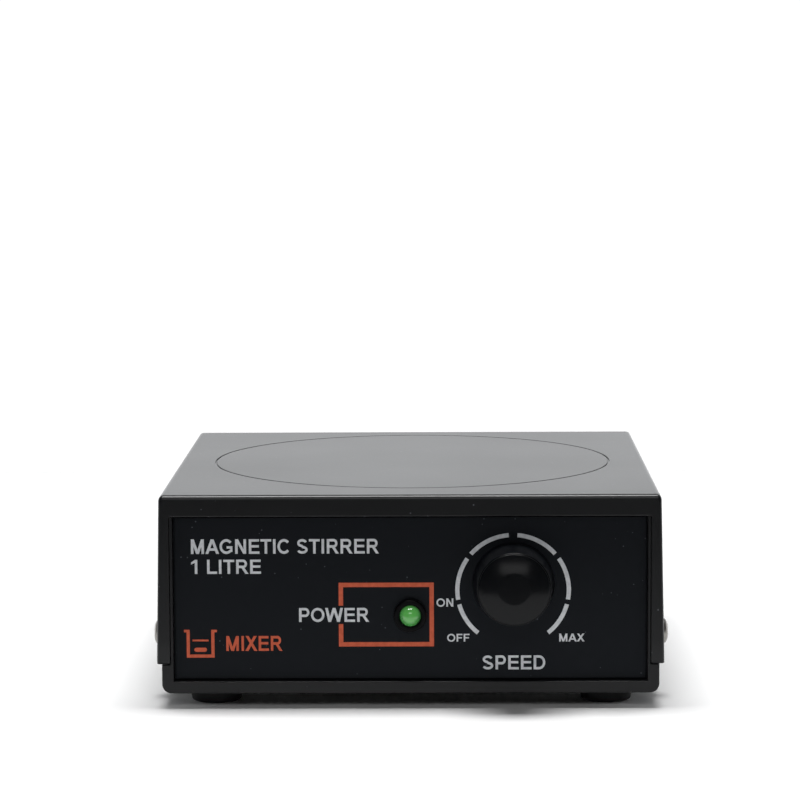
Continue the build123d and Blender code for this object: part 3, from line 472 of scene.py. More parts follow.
grey_ink = finish_of("grey_ink", screen_ink(rgb(0.58, 0.60, 0.63), rgb(0.70, 0.72, 0.74)))
orange_ink = finish_of("orange_ink", screen_ink(rgb(0.56, 0.098, 0.042), rgb(0.66, 0.122, 0.056)))
finishes = {
    "case_plastic": case_plastic,
    "panel_plastic": panel_plastic,
    "knob_plastic": knob_plastic,
    "foot_rubber": rubber,
    "plated_screws": plated(rgb(0.22, 0.21, 0.2), rgb(0.33, 0.32, 0.3), 0.3),
    "turned_steel": plated(rgb(0.44, 0.44, 0.45), rgb(0.58, 0.58, 0.58), 0.24),
    "component_can": plated(rgb(0.46, 0.47, 0.48), rgb(0.6, 0.6, 0.6), 0.36, 300.0),
    "lamp_lens": lens_epoxy,
    "lamp_trim": moulded(rgb(0.0016, 0.0016, 0.002), rgb(0.0024, 0.0024, 0.003), 0.34, 600.0, 0.08),
    "inlet_plastic": moulded(rgb(0.007, 0.007, 0.008), rgb(0.011, 0.011, 0.012), 0.4, 900.0, 0.35),
    "contact_brass": plated(rgb(0.62, 0.5, 0.26), rgb(0.76, 0.63, 0.36), 0.22),
    "ferrite": moulded(rgb(0.03, 0.03, 0.034), rgb(0.05, 0.05, 0.055), 0.6, 1200.0),
    "winding_copper": layered(rgb(0.32, 0.1, 0.035), rgb(0.62, 0.25, 0.1), 0.0005, 2, 0.8, 0.3),
    "carrier_plastic": moulded(rgb(0.62, 0.61, 0.56), rgb(0.7, 0.69, 0.65), 0.42),
    "magnet_nickel": plated(rgb(0.6, 0.59, 0.56), rgb(0.7, 0.69, 0.66), 0.14),
    "core_steel": layered(rgb(0.07, 0.07, 0.078), rgb(0.2, 0.2, 0.21), 0.0007, 0, 0.7, 0.4),
    "board_laminate": moulded(rgb(0.012, 0.085, 0.03), rgb(0.018, 0.12, 0.04), 0.35),
    "fuse_glass": fuse_glass,
    "terminal_plastic": moulded(rgb(0.015, 0.14, 0.045), rgb(0.02, 0.19, 0.06), 0.45),
    "component_black": moulded(rgb(0.012, 0.012, 0.014), rgb(0.02, 0.02, 0.022), 0.35),
    "sink_aluminium": plated(rgb(0.06, 0.06, 0.065), rgb(0.1, 0.1, 0.105), 0.4),
    "lead_insulation": lead_sleeve,
}
finish = {slot: finish_of(slot, paint) for slot, paint in finishes.items()}
for row in frame["record"]["subparts"]:
    carried = nodes[row["node"]].data
    carried.materials.clear()
    carried.materials.append(finish[row["material_slot"]])


def fit(name, points, faces, slot, replaced, body="case", sharp=35.0):
    """A piece in its slot's own material, in place of the named frame node."""
    build_mesh(name, points, faces, finish[slot], body, (replaced,), sharp)


# ---------------------------------------------------------------- top cover
def even_angles(count):
    """Positions from -1 to 1 that look evenly spaced in angle from the middle of a square."""
    return np.tan(np.linspace(-np.pi / 4, np.pi / 4, count))


def cover_profile(spread):
    """The cover's section through its skin, followed from the front lip's inner edge, round the front, along
    the skin to the rear lip, and back along the inside. Each row holds: x at the skirt's foot, x at the top,
    height of the same line on the top plate, y beside the skirts, y over the top, and the radius with which
    the line turns the corner between skirt and top."""
    a = np.radians(np.linspace(0, 90, 5))
    lip = LIP_ROUND * (1 - np.cos(a))
    lip_y = -HALF + LIP_ROUND * (1 - np.sin(a))
    edge = np.stack([LIP_X + lip, LIP_X + lip, LIP_Z + lip, lip_y, lip_y, 0.25 + lip], axis=1)
    b = np.radians(np.linspace(0, 90, 8))
    side_in = CORNER_ROUND * (1 - np.sin(b))
    top_in = EDGE_ROUND * (1 - np.sin(b))
    side_y = -HALF + CORNER_ROUND * (1 - np.cos(b))
    top_y = -HALF + EDGE_ROUND * (1 - np.cos(b))
    radius = np.maximum(EDGE_ROUND - top_in, 0.0) * 0.55 + 0.55
    bend = np.stack([HALF - side_in, HALF - SIDE_LEAN - side_in, TOP - top_in, side_y, top_y, radius], axis=1)
    bend[-1, 5] = EDGE_ROUND
    t = np.array([0.06, 0.35, 0.65, 0.94])[:, None]
    face = edge[-1] * (1 - t) + bend[0] * t
    front = np.concatenate([edge, face, bend])
    ones = np.ones(len(spread))
    skin = np.stack(
        [
            HALF * ones,
            (HALF - SIDE_LEAN) * ones,
            TOP * ones,
            (HALF - CORNER_ROUND) * spread,
            (HALF - EDGE_ROUND) * spread,
            EDGE_ROUND * ones,
        ],
        axis=1,
    )
    rear = front[::-1] * (1, 1, 1, -1, -1, 1)
    outer = np.concatenate([front[:-1], skin, rear[1:]])
    lead_in = len(front) - 1
    s = np.linspace(0, 1, lead_in + 1)
    lip_back_y = -INNER_Y * np.ones(len(s))
    back = np.stack(
        [
            LIP_X + s * (INNER_X - LIP_X),
            LIP_X + s * (INNER_X - LIP_X),
            LIP_Z + s * (INNER_Z - LIP_Z),
            lip_back_y,
            lip_back_y,
            0.25 + 0.15 * s,
        ],
        axis=1,
    )
    wall = np.stack(
        [INNER_X * ones, INNER_X * ones, INNER_Z * ones, INNER_Y * spread, INNER_Y * spread, 0.4 * ones],
        axis=1,
    )
    inner = np.concatenate([back[:-1], wall, (back[::-1] * (1, 1, 1, -1, -1, 1))[1:]])
    return outer, inner, lead_in


def cover_sweep(profile, spread):
    """Carries a profile along an upside-down U: up the left skirt, round a quarter circle, over the top, and
    down the right skirt. The lowest rows draw in by a small quarter round along the skirts' lower edges."""
    foot_x, top_x, top_z, side_y, top_y, radius = profile.T
    shift_x = np.roll(foot_x, -1) - np.roll(foot_x, 1)
    shift_y = np.roll(side_y, -1) - np.roll(side_y, 1)
    length = np.hypot(shift_x, shift_y)
    inward_x = -shift_y / length
    inward_y = shift_x / length
    start_z = top_z - radius
    half = []
    for a in np.radians(np.linspace(90, 0, 5)):
        draw = SKIRT_ROUND * (1 - np.cos(a))
        z = SKIRT_BOTTOM + SKIRT_ROUND * (1 - np.sin(a))
        half.append(np.stack([-(foot_x + draw * inward_x), side_y + draw * inward_y, z + 0 * foot_x], axis=1))
    half = half[::-1]
    foot_z = SKIRT_BOTTOM + SKIRT_ROUND
    for t in (0.01, 0.15, 0.35, 0.6, 0.85, 0.985, 1.0):
        z = foot_z + t * (start_z - foot_z)
        x = foot_x + (top_x - foot_x) * (z - SKIRT_BOTTOM) / (top_z - SKIRT_BOTTOM)
        half.append(np.stack([-x, side_y, z], axis=1))
    for a in np.linspace(0, np.pi / 2, 9)[1:]:
        blend = a / (np.pi / 2)
        y = side_y + (top_y - side_y) * blend
        x = top_x - radius * (1 - np.cos(a))
        z = start_z + radius * np.sin(a)
        half.append(np.stack([-x, y, z], axis=1))
    over = [np.stack([s * (top_x - radius), top_y, top_z], axis=1) for s in spread[1:-1]]
    other = [row * (-1, 1, 1) for row in half[::-1]]
    return np.stack(half + over + other), len(half) - 1


def ring_groove_plate(border):
    """The flat top plate: straight columns from the plate's square border to a circle outside the groove,
    then circles through the groove's section and in to the middle."""
    x, y = border[:, 0], border[:, 1] - RING_Y
    angle = np.arctan2(y, x)
    reach = np.hypot(x, y)
    wide = RING_RADIUS + 0.6
    steps = np.array([0.0, 0.03, 0.3, 0.65, 1.0])[:, None]
    radii = reach * (1 - steps) + wide * steps
    groove = np.array(
        [
            (0.34, 0.0),
            (0.29, -0.012),
            (0.25, -0.06),
            (0.235, -0.36),
            (0.18, -0.4),
            (-0.18, -0.4),
            (-0.235, -0.36),
            (-0.25, -0.06),
            (-0.29, -0.012),
            (-0.34, 0.0),
            (-0.6, 0.0),
        ]
    )
    plate = np.array([(44.0, 0.0), (34.0, 0.0), (22.0, 0.0), (10.0, 0.0), (0.0, 0.0)])
    inner_radii = np.concatenate([RING_RADIUS + groove[:, 0], plate[:, 0]])[:, None] + 0 * angle
    heights = np.concatenate([np.zeros(len(steps)), groove[:, 1], plate[:, 1]])[:, None] + 0 * angle
    radii = np.concatenate([radii, inner_radii])
    points = np.stack([radii * np.cos(angle), RING_Y + radii * np.sin(angle), TOP + heights], axis=-1)
    return points.reshape(-1, 3), grid_faces(len(radii), len(angle), wrap_columns=True)


def make_cover():
    spread = even_angles(65)
    outer, inner, first_skin = cover_profile(spread)
    profile = np.concatenate([outer, inner[::-1]])
    rows, first_top = cover_sweep(profile, spread)
    count = len(profile)
    last_skin = first_skin + len(spread) - 1
    last_top = first_top + len(spread) - 1
    faces = grid_faces(len(rows), count, wrap_columns=True)
    row, column = faces[:, 0] // count, faces[:, 0] % count
    plate = (row >= first_top) & (row < last_top) & (column >= first_skin) & (column < last_skin)
    faces = faces[~plate]
    along = np.arange(first_top, last_top)
    across = np.arange(first_skin, last_skin)
    border = np.concatenate(
        [
            rows[along, first_skin],
            rows[last_top, across],
            rows[along[::-1] + 1, last_skin],
            rows[first_top, across[::-1] + 1],
        ]
    )
    i = np.arange(len(outer) - 1)
    mate = count - 1 - i
    foot = np.stack([i, i + 1, mate - 1, mate], axis=1)
    ends = np.concatenate([foot, foot + (len(rows) - 1) * count])
    skin = (rows.reshape(-1, 3), np.concatenate([faces, ends]))
    points, faces = several([skin, ring_groove_plate(border)])
    fit("cover_shell", points, faces, "case_plastic", "top_cover", sharp=40.0)


# ---------------------------------------------------------------- screws and feet
def pan_head(radius, height, rings=30, segments=80):
    """Pan head on polar rings: height * (1 - (r / radius)^3.4)^(1 / 3.4), less a cross recess whose arms fade
    out at their ends; the last rings close the flat underside."""
    r = radius * np.sin(np.linspace(0, np.pi / 2, rings))[:, None]
    angle = np.linspace(0, 2 * np.pi, segments, endpoint=False)
    x = r * np.cos(angle)
    y = r * np.sin(angle)
    dome = height * np.maximum(1 - (r / radius) ** 3.4, 0) ** (1 / 3.4) + 0 * angle
    arm = radius * 0.17

    def inside(across, along):
        edge = radius * 0.05
        width = np.clip((arm - np.abs(across)) / edge, 0, 1)
        reach = np.clip((radius * 0.62 - np.abs(along)) / edge, 0, 1)
        return width * reach

    recess = np.maximum(inside(x, y), inside(y, x)) * height * 0.55
    recess = recess * (1 - 0.35 * r / radius)
    top = np.stack([x, y, dome - recess], axis=-1)
    under = np.stack([x[-1], y[-1], 0 * x[-1]], axis=-1)
    points = np.concatenate([top, under[None], 0 * under[None]])
    return points.reshape(-1, 3), grid_faces(rings + 2, segments, wrap_columns=True)


def screw(radius, height, shank_radius, shank_length):
    """Pan head, and a plain shank with a chamfered tip below it."""
    shank = turned(
        [
            (0, 0.0),
            (shank_radius, 0.0),
            (shank_radius, -shank_length + 0.6),
            (shank_radius - 0.6, -shank_length),
            (0, -shank_length),
        ],
        32,
    )
    return several([pan_head(radius, height), shank])


def make_screws():
    """Side screws, whose heads seat on flats in the leaning skirts, and the inlet's two screws."""
    head, head_height, shank, length = 3.1, 2.0, 1.75, 9.0
    points, faces = screw(head, head_height, shank, length)
    seat = HALF - SIDE_LEAN * (SIDE_SCREW_Z + head - SKIRT_BOTTOM) / (TOP - SKIRT_BOTTOM)
    places = [("right", seat), ("left", -seat)]
    placed = [
        (facing(points, direction, (x, y, SIDE_SCREW_Z)), faces)
        for direction, x in places
        for y in (-SIDE_SCREW_Y, SIDE_SCREW_Y)
    ]
    points, faces = several(placed)
    fit("cover_screw_heads", points, faces, "plated_screws", "cover_screws")
    head, head_height, shank, length = 2.8, 1.8, 1.45, 7.5
    flange, from_middle = 2.4, 14.0
    points, faces = screw(head, head_height, shank, length)
    rear_y = REAR_PANEL_Y + flange
    places = [(INLET[0] + dx, rear_y, INLET[1]) for dx in (-from_middle, from_middle)]
    placed = [(facing(points, "rear", place), faces) for place in places]
    points, faces = several(placed)
    fit("inlet_screw_heads", points, faces, "plated_screws", "inlet_screws")


def make_feet():
    """Turned rubber feet: a shallow dish underneath, a rounded lower edge, and sides that widen upwards."""
    profile = [(0.0, 0.5), (3.4, 0.5), (3.9, 0.35), (4.3, 0.02), (4.5, 0.0)]
    profile += [tuple(p) for p in arc((5.4, 0.62), 0.6, -90, -8, 7)]
    top = FOOT_HEIGHT
    profile += [(6.37, top - 0.2), (6.4, top - 0.08), (6.34, top), (3.0, top)]
    profile += [(3.0, top + 2.4), (2.9, top + 2.5), (0.0, top + 2.5)]
    points, faces = turned(profile, 64)
    placed = [(points + (x, y, 0), faces) for x in (-FOOT_X, FOOT_X) for y in (-FOOT_Y, FOOT_Y)]
    points, faces = several(placed)
    fit("feet", points, faces, "foot_rubber", "rubber_feet", sharp=50.0)


# ---------------------------------------------------------------- knob
def make_knob():
    """Turned cup that narrows to the front, and its domed cap; heights are from the panel's face. The dome
    is z = centre + sqrt(dome^2 - r^2), from the edge of the cap's flat middle out to its rim."""
    cup = [(9.5, 0.7), (9.62, 0.74), (9.67, 0.84), (9.66, 1.0), (9.33, 3.5), (9.0, 6.0), (8.7, 8.3)]
    cup += [tuple(p) for p in arc((8.46, 8.55), 0.2, 8, 90, 7)]
    cup += [(8.41, 8.74), (8.385, 8.7), (8.38, 8.6), (8.38, 7.7), (6.0, 7.7), (3.03, 7.7), (3.03, 5.0)]
    cup += [(5.0, 5.0), (5.0, 6.2), (7.15, 6.2), (7.15, 3.0), (7.15, 0.9), (7.2, 0.75), (7.3, 0.7)]
    cup += [(9.5, 0.7)]
    place = (KNOB[0], PANEL_Y, KNOB[1])
    points, faces = turned(cup, 144)
    points = facing(points, "front", place)
    fit("knob_cup", points, faces, "knob_plastic", "knob_body", body="knob", sharp=40.0)
    rim, flat, reach, fall = 8.35, 3.7, 9.5, 0.6
    dome = (rim**2 - flat**2) / (2 * fall) + fall / 2
    centre = reach - math.sqrt(dome**2 - flat**2)
    r = np.linspace(flat, rim - 0.15, 14)
    bulge = np.stack([r, centre + np.sqrt(dome**2 - r**2)], axis=1)
    cap = [(0.0, reach), (1.6, reach), (2.8, reach), (3.4, reach)]
    cap += [tuple(p) for p in bulge]
    cap += [(8.28, 8.89), (8.33, 8.84), (8.35, 8.75), (8.35, 7.75), (8.3, 7.7), (0.0, 7.7)]
    points, faces = turned(cap, 144)
    points = facing(points, "front", place)
    fit("knob_face", points, faces, "knob_plastic", "knob_cap", body="knob", sharp=40.0)


# ---------------------------------------------------------------- lamp
def make_lamp():
    """Round lens with a domed tip, and the bezel ring whose front edge is rounded."""
    place = (LAMP[0], PANEL_Y, LAMP[1])
    dome = [tuple(p) for p in arc((0.0, 0.7), 2.5, 90, 0, 22)]
    lens = [(0.0, 3.2)] + dome[1:]
    lens += [(2.5, -1.0), (2.5, -3.45), (2.9, -3.5), (2.9, -4.45), (2.85, -4.5), (0.0, -4.5)]
    points, faces = turned(lens, 72)
    points = facing(points, "front", place)
    fit("lamp_lens", points, faces, "lamp_lens", "lamp_led", sharp=50.0)
    ring = [(2.55, -3.2), (3.2, -3.2), (3.2, 0.0), (3.8, 0.0), (3.88, 0.04), (3.9, 0.15), (3.9, 0.95)]
    ring += [tuple(p) for p in arc((3.4, 1.0), 0.5, 8, 90, 8)]
    ring += [(2.95, 1.5), (2.75, 1.46), (2.62, 1.36), (2.55, 1.15), (2.55, 0.6), (2.55, -3.2)]
    points, faces = turned(ring, 72)
    points = facing(points, "front", place)
    fit("lamp_ring", points, faces, "lamp_trim", "lamp_bezel", sharp=50.0)


# ---------------------------------------------------------------- mains inlet
def box_reach(angle, half_x, half_y, corner):
    """Distance from the middle of a rounded rectangle to its edge at each angle."""
    c, s = np.abs(np.cos(angle)), np.abs(np.sin(angle))
    straight = np.minimum(half_x / np.maximum(c, 1e-9), half_y / np.maximum(s, 1e-9))
    cx, cy = half_x - corner, half_y - corner
    along = cx * c + cy * s
    off = cx * cx + cy * cy - along * along
    rounded = along + np.sqrt(np.maximum(corner * corner - off, 0))
    in_corner = (straight * c > cx) & (straight * s > cy)
    return np.where(in_corner, rounded, straight)


def eight_reach(angle, grow=0.0):
    """Distance from the middle of the figure-of-eight socket to its wall at each angle: the farther of the
    waist's rectangle and of the lobe's circle."""
    lobe_x, lobe = 4.3, 3.8 + grow
    c, s = np.abs(np.cos(angle)), np.abs(np.sin(angle))
    waist = np.minimum((lobe_x + grow) / np.maximum(c, 1e-9), (3.2 + grow) / np.maximum(s, 1e-9))
    inside = lobe * lobe - (lobe_x * s) ** 2
    circle = np.where(inside > 0, lobe_x * c + np.sqrt(np.maximum(inside, 0)), 0)
    return np.maximum(waist, circle)


def make_inlet():
    """Rings from the socket's floor up its wall, over the flange's face, round its edge, and back along the
    body behind the panel."""
    angle = np.linspace(0, 2 * np.pi, 192, endpoint=False)
    socket = eight_reach(angle)
    rows = [
        (0 * angle, -9.1),
        (socket * 0.6, -9.1),
        (socket, -9.1),
        (socket, 1.9),
        (eight_reach(angle, 0.12), 2.2),
        (eight_reach(angle, 0.4), 2.38),
        (eight_reach(angle, 0.55), 2.4),
        (box_reach(angle, 11.6, 6.4, 1.6), 2.4),
        (box_reach(angle, 16.9, 6.9, 2.4), 2.4),
        (box_reach(angle, 17.2, 7.2, 2.7), 2.36),
        (box_reach(angle, 17.42, 7.42, 2.92), 2.2),
        (box_reach(angle, 17.5, 7.5, 3.0), 1.9),
        (box_reach(angle, 17.5, 7.5, 3.0), 0.0),
        (box_reach(angle, 10.5, 5.5, 0.3), 0.0),
        (box_reach(angle, 10.5, 5.5, 0.3), -12.5),
        (box_reach(angle, 10.4, 5.4, 0.3), -12.6),
        (0 * angle, -12.6),
    ]
    points = np.concatenate(
        [np.stack([r * np.cos(angle), r * np.sin(angle), h + 0 * angle], axis=1) for r, h in rows]
    )
    faces = grid_faces(len(rows), len(angle), wrap_columns=True)
    points = facing(points, "rear", (INLET[0], REAR_PANEL_Y, INLET[1]))
    fit("inlet_socket", points, faces, "inlet_plastic", "inlet_body", sharp=30.0)
    pin = [(0.0, -15.6), (1.1, -15.6), (1.2, -15.5), (1.2, -0.7)]
    pin += [tuple(p) for p in arc((0.6, -0.7), 0.6, 0, 90, 7)] + [(0.0, -0.1)]
    points, faces = turned(pin, 40)
    placed = [
        (facing(points, "rear", (INLET[0] + dx, REAR_PANEL_Y, INLET[1])), faces) for dx in (-4.3, 4.3)
    ]
    points, faces = several(placed)
    fit("inlet_contacts", points, faces, "contact_brass", "inlet_pins")


# ---------------------------------------------------------------- printing on the front panel
INK_BACK = PANEL_Y + 0.02
INK_FRONT = PANEL_Y - 0.035


def ink_slab(first, second, lift=0.0):
    """A thin layer of ink between two lines of (x, z) points that run side by side; lift brings its face
    forward."""
    rows = []
    front = INK_FRONT - lift
    for line, y in ((first, INK_BACK), (first, front), (second, front), (second, INK_BACK)):
        line = np.asarray(line, float)
        rows.append(np.stack([line[:, 0], y + 0 * line[:, 0], line[:, 1]], axis=1))
    count = len(rows[0])
    faces = grid_faces(4, count, wrap_rows=True).tolist()
    faces += [[0, count, 2 * count, 3 * count]]
    faces += [[count - 1, 4 * count - 1, 3 * count - 1, 2 * count - 1]]
    return np.concatenate(rows), faces


def bar(x0, x1, z0, z1):
    return ink_slab([(x0, z0), (x1, z0)], [(x0, z1), (x1, z1)])


def dial_arc(start, stop, outer=13.65, inner=12.65, centre=(24.3, 28.05)):
    count = max(int(abs(stop - start) / 1.5), 2)
    return ink_slab(arc(centre, inner, start, stop, count), arc(centre, outer, start, stop, count))


def join_ink(name, slabs, material):
    points, faces = several(slabs)
    build_mesh(name, points, faces, material, "case", (), 30.0)


STEM = 0.19
ARM = 0.165


def box(x0, x1, z0, z1):
    """A rectangle as two level lines."""
    return [(x0, z0), (x1, z0)], [(x0, z1), (x1, z1)]


def stem(x):
    return box(x, x + STEM, 0.0, 1.0)


def shelf(x, z):
    """A level stroke from the first stem out to x."""
    return box(0.28, x, z, z + ARM)


def slant(foot, head, width=0.215):
    """A sloping stroke that is cut level at the baseline and at the cap height."""
    return [(foot, 0.0), (head, 1.0)], [(foot + width, 0.0), (head + width, 1.0)]


def ribbon(line, width=0.178):
    """Both edges of a stroke of even width along a curved centre line."""
    line = np.asarray(line, float)
    along = np.gradient(line, axis=0)
    along = along / np.hypot(along[:, 0], along[:, 1])[:, None]
    across = np.stack([-along[:, 1], along[:, 0]], axis=1) * width / 2
    return line - across, line + across


def oval(x, z, wide, high, start, stop, count=22):
    """Centre line (x + wide * cos, z + high * sin) from start to stop degrees."""
    a = np.radians(np.linspace(start, stop, count))
    return np.stack([x + wide * np.cos(a), z + high * np.sin(a)], axis=1)


def bowl(x, turn_x, low, high):
    """A bowl on a stem at x: out along the top, round at turn_x, and back along the bottom."""
    top, bottom = high - ARM / 2, low + ARM / 2
    radius = (top - bottom) / 2
    curve = oval(turn_x, (top + bottom) / 2, radius * 0.9, radius, 90, -90)
    out = np.array([(x, top), (x * 0.5 + turn_x * 0.5, top)])
    return ribbon(np.concatenate([out, curve, out[::-1] * (1, 0) + (0, bottom)]), ARM + 0.008)


curl = np.concatenate([oval(0.465, 0.725, 0.285, 0.19, 18, 262), oval(0.47, 0.268, 0.31, 0.185, 82, -162)])

# each letter's advance and its strokes, with the cap height as 1
LETTERS = {
    " ": (0.388, []),
    "1": (0.777, [stem(0.38), ([(0.12, 0.66), (0.38, 0.78)], [(0.12, 0.82), (0.38, 0.98)])]),
    "A": (1.008, [slant(0.0, 0.397), slant(0.793, 0.397), box(0.2, 0.8, 0.22, 0.22 + ARM)]),
    "C": (1.008, [ribbon(oval(0.52, 0.5, 0.39, 0.42, 40, 320, 36))]),
    "D": (1.008, [stem(0.1), bowl(0.27, 0.49, 0.0, 1.0)]),
    "E": (0.932, [stem(0.1), shelf(0.88, 0.0), shelf(0.84, 0.43), shelf(0.86, 1 - ARM)]),
    "F": (0.853, [stem(0.1), shelf(0.74, 0.41), shelf(0.8, 1 - ARM)]),
    "G": (
        1.087,
        [
            ribbon(oval(0.54, 0.5, 0.41, 0.42, 40, 318, 36)),
            box(0.56, 0.99, 0.36, 0.36 + ARM),
            box(0.82, 0.99, 0.14, 0.37),
        ],
    ),
    "I": (0.388, [stem(0.1)]),
    "L": (0.853, [stem(0.1), shelf(0.82, 0.0)]),
    "M": (1.163, [stem(0.1), stem(0.873), slant(0.474, 0.1), slant(0.474, 0.848)]),
    "N": (1.008, [stem(0.1), stem(0.718), slant(0.693, 0.1)]),
    "O": (
        1.087,
        [ribbon(oval(0.543, 0.5, 0.405, 0.42, 0, 180)), ribbon(oval(0.543, 0.5, 0.405, 0.42, 180, 360))],
    ),
    "P": (0.932, [stem(0.1), bowl(0.27, 0.56, 0.36, 1.0)]),
    "R": (
        1.008,
        [
            stem(0.1),
            bowl(0.27, 0.61, 0.41, 1.0),
            ([(0.76, 0.0), (0.45, 0.46)], [(0.99, 0.0), (0.67, 0.46)]),
        ],
    ),
    "S": (0.932, [ribbon(curl, 0.17)]),
    "T": (0.853, [box(0.03, 0.823, 1 - ARM, 1.0), box(0.332, 0.332 + STEM, 0.0, 1 - ARM)]),
    "W": (
        1.318,
        [slant(foot, head, 0.2) for foot, head in ((0.235, 0.0), (0.235, 0.56), (0.88, 0.56), (0.88, 1.118))],
    ),
    "X": (0.932, [slant(0.0, 0.66, 0.24), slant(0.69, 0.03, 0.24)]),
}


def words(name, text, x0, x1, z0, z1, material):
    """Bold lettering drawn stroke by stroke and scaled so that its own box fills the given one. Each stroke
    of a letter lies a hair in front of the one before, so that no two faces coincide."""
    strokes, pen = [], 0.0
    for letter in text:
        advance, shapes = LETTERS[letter]
        for order, lines in enumerate(shapes):
            first, second = [np.asarray(line, float) + (pen, 0.0) for line in lines]
            strokes.append((first, second, order))
        pen += advance
    every = np.concatenate([line for first, second, _ in strokes for line in (first, second)])
    low, high = every.min(axis=0), every.max(axis=0)
    scale = np.array([x1 - x0, z1 - z0]) / (high - low)
    slabs = [
        ink_slab((first - low) * scale + (x0, z0), (second - low) * scale + (x0, z0), 0.0015 * order)
        for first, second, order in strokes
    ]
    join_ink(name, slabs, material)


def make_printing():
    words("print_title", "MAGNETIC STIRRER", -51.7, -7.3, 36.85, 40.4, grey_ink)
    words("print_capacity", "1 LITRE", -51.7, -35.2, 32.1, 35.5, grey_ink)
    words("print_power", "POWER", -26.3, -9.7, 20.5, 23.9, grey_ink)
    words("print_on", "ON", 6.2, 10.2, 24.1, 26.1, grey_ink)
    words("print_off", "OFF", 8.7, 14.0, 15.7, 17.6, grey_ink)
    words("print_max", "MAX", 35.2, 41.2, 15.7, 17.6, grey_ink)
    words("print_speed", "SPEED", 17.1, 31.9, 9.0, 12.4, grey_ink)
    spans = ((231, 195), (190, 145), (139, 94.5), (85.5, 41), (35, -10), (-15, -51))
    join_ink("print_dial", [dial_arc(*span) for span in spans], grey_ink)
    line = 1.05
    left, right, low, high = -16.9, 5.6, 14.6, 29.9
    frame_bars = [
        bar(left, right, low, low + line),
        bar(left, right, high - line, high),
        bar(right - line, right, low + line, high - line),
        bar(left, left + line, low + line, 20.0),
        bar(left, left + line, 24.4, high - line),
    ]
    join_ink("print_lamp_frame", frame_bars, orange_ink)
    words("print_mark", "MIXER", -43.6, -30.3, 13.6, 17.2, orange_ink)
    beaker = [
        bar(-53.0, -46.4, 12.0, 12.75),
        bar(-53.0, -52.25, 12.75, 18.1),
        bar(-47.15, -46.4, 12.75, 18.1),
        bar(-53.6, -52.25, 18.1, 18.7),
        bar(-47.15, -45.8, 18.1, 18.7),
        bar(-51.6, -47.8, 15.9, 16.35),
        ink_slab(arc((-50.7, 13.9), 0.5, 270, 90, 9), arc((-48.7, 13.9), 0.5, -90, 90, 9)),
    ]
    join_ink("print_beaker", beaker, orange_ink)


make_cover()
smooth_copy("base_tray", "tray", finish["case_plastic"], "case")
make_screws()
make_feet()
make_knob()
make_lamp()
make_inlet()
make_printing()


# ---------------------------------------------------------------- studio
def make_floor():
    """A flat pale floor that stops a little way in front of the object, so that its front faces mirror the
    dim side of the studio; the white surroundings take over beyond the floor's edges."""
    side, near, far = 0.8, -0.19, 0.35
    corners = [(-side, near, 0), (side, near, 0), (side, far, 0), (-side, far, 0)]
    mesh = bpy.data.meshes.new("floor")
    mesh.from_pydata(corners, [], [(0, 1, 2, 3)])
    floor = bpy.data.objects.new("floor", mesh)
    bpy.context.scene.collection.objects.link(floor)

    def paint(g):
        cloud = g.noise(2.0, 1.0)
        return {
            "Base Color": g.mix(cloud, rgb(0.93, 0.93, 0.93), rgb(0.95, 0.95, 0.95)),
            "Roughness": 0.75,
            "Specular IOR Level": 0.1,
        }

    mesh.materials.append(finish_of("floor_paper", paint))


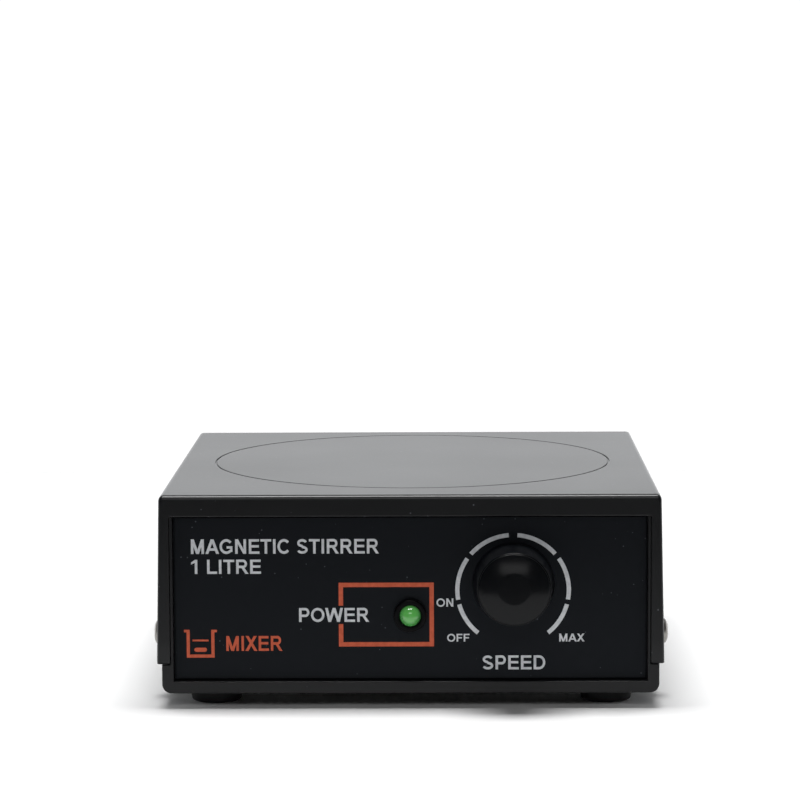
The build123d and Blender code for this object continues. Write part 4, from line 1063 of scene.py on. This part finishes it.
def make_world():
    """Seen directly the surroundings are white. As light they are a white wall low behind the object, dimmer
    above it, and nearly dark in front."""
    world = bpy.data.worlds.new("studio")
    bpy.context.scene.world = world
    g = Graph(world)
    direction = g.node("ShaderNodeTexCoord", output="Generated")
    _, y, z = g.axes(direction)
    behind = y.ramp(-0.1, 0.45)
    low = 1 - z.ramp(0.2, 0.5)
    strength = 0.02 + behind * (0.2 + low * 1.75)
    light = g.node("ShaderNodeBackground", inputs={"Color": rgb(0.97, 0.985, 1.0), "Strength": strength})
    plain = g.node("ShaderNodeBackground", inputs={"Color": rgb(1.0, 1.0, 1.0), "Strength": 1.05})
    seen = g.node("ShaderNodeLightPath", output="Is Camera Ray")
    both = g.node("ShaderNodeMixShader", inputs={0: seen, 1: light, 2: plain})
    g.node("ShaderNodeOutputWorld", inputs={"Surface": both})


def add_softbox(name, place, aim, width, depth, power):
    light = bpy.data.lights.new(name, "AREA")
    light.shape = "RECTANGLE"
    light.size = width
    light.size_y = depth
    light.energy = power
    holder = bpy.data.objects.new(name, light)
    bpy.context.scene.collection.objects.link(holder)
    holder.location = place
    holder.rotation_euler = (Vector(aim) - Vector(place)).to_track_quat("-Z", "Y").to_euler()


def make_camera():
    """Camera slightly above the front, level with the horizon line high in the frame."""
    yaw, pitch, roll = (math.radians(a) for a in (0.873, 6.534, -0.296))
    turn = Matrix.Rotation(yaw, 3, "Z")
    right, ahead, up = turn @ Vector((1, 0, 0)), turn @ Vector((0, 1, 0)), Vector((0, 0, 1))
    view = ahead * math.cos(pitch) - up * math.sin(pitch)
    over = up * math.cos(pitch) + ahead * math.sin(pitch)
    side = right * math.cos(roll) + over * math.sin(roll)
    top = over * math.cos(roll) - right * math.sin(roll)
    camera = bpy.data.cameras.new("camera")
    camera.lens = 132.6
    camera.sensor_width = 36.0
    camera.clip_start = 0.01
    holder = bpy.data.objects.new("camera", camera)
    bpy.context.scene.collection.objects.link(holder)
    columns = Matrix((side, top, -view)).transposed().to_4x4()
    holder.matrix_world = Matrix.Translation((0.0083, -0.74175, 0.1519)) @ columns
    bpy.context.scene.camera = holder


make_floor()
make_world()
add_softbox("overhead", (0.0, 0.02, 1.25), (0.0, 0.0, 0.0), 0.7, 0.36, 16.5)
add_softbox("front_card", (0.0, -1.1, 0.8), (0.0, 0.0, 0.03), 0.8, 0.4, 2.6)
add_softbox("low_card", (0.05, -1.3, 0.09), (0.0, 0.0, 0.03), 0.36, 0.13, 0.3)
make_camera()
bpy.context.scene.view_settings.view_transform = "Standard"
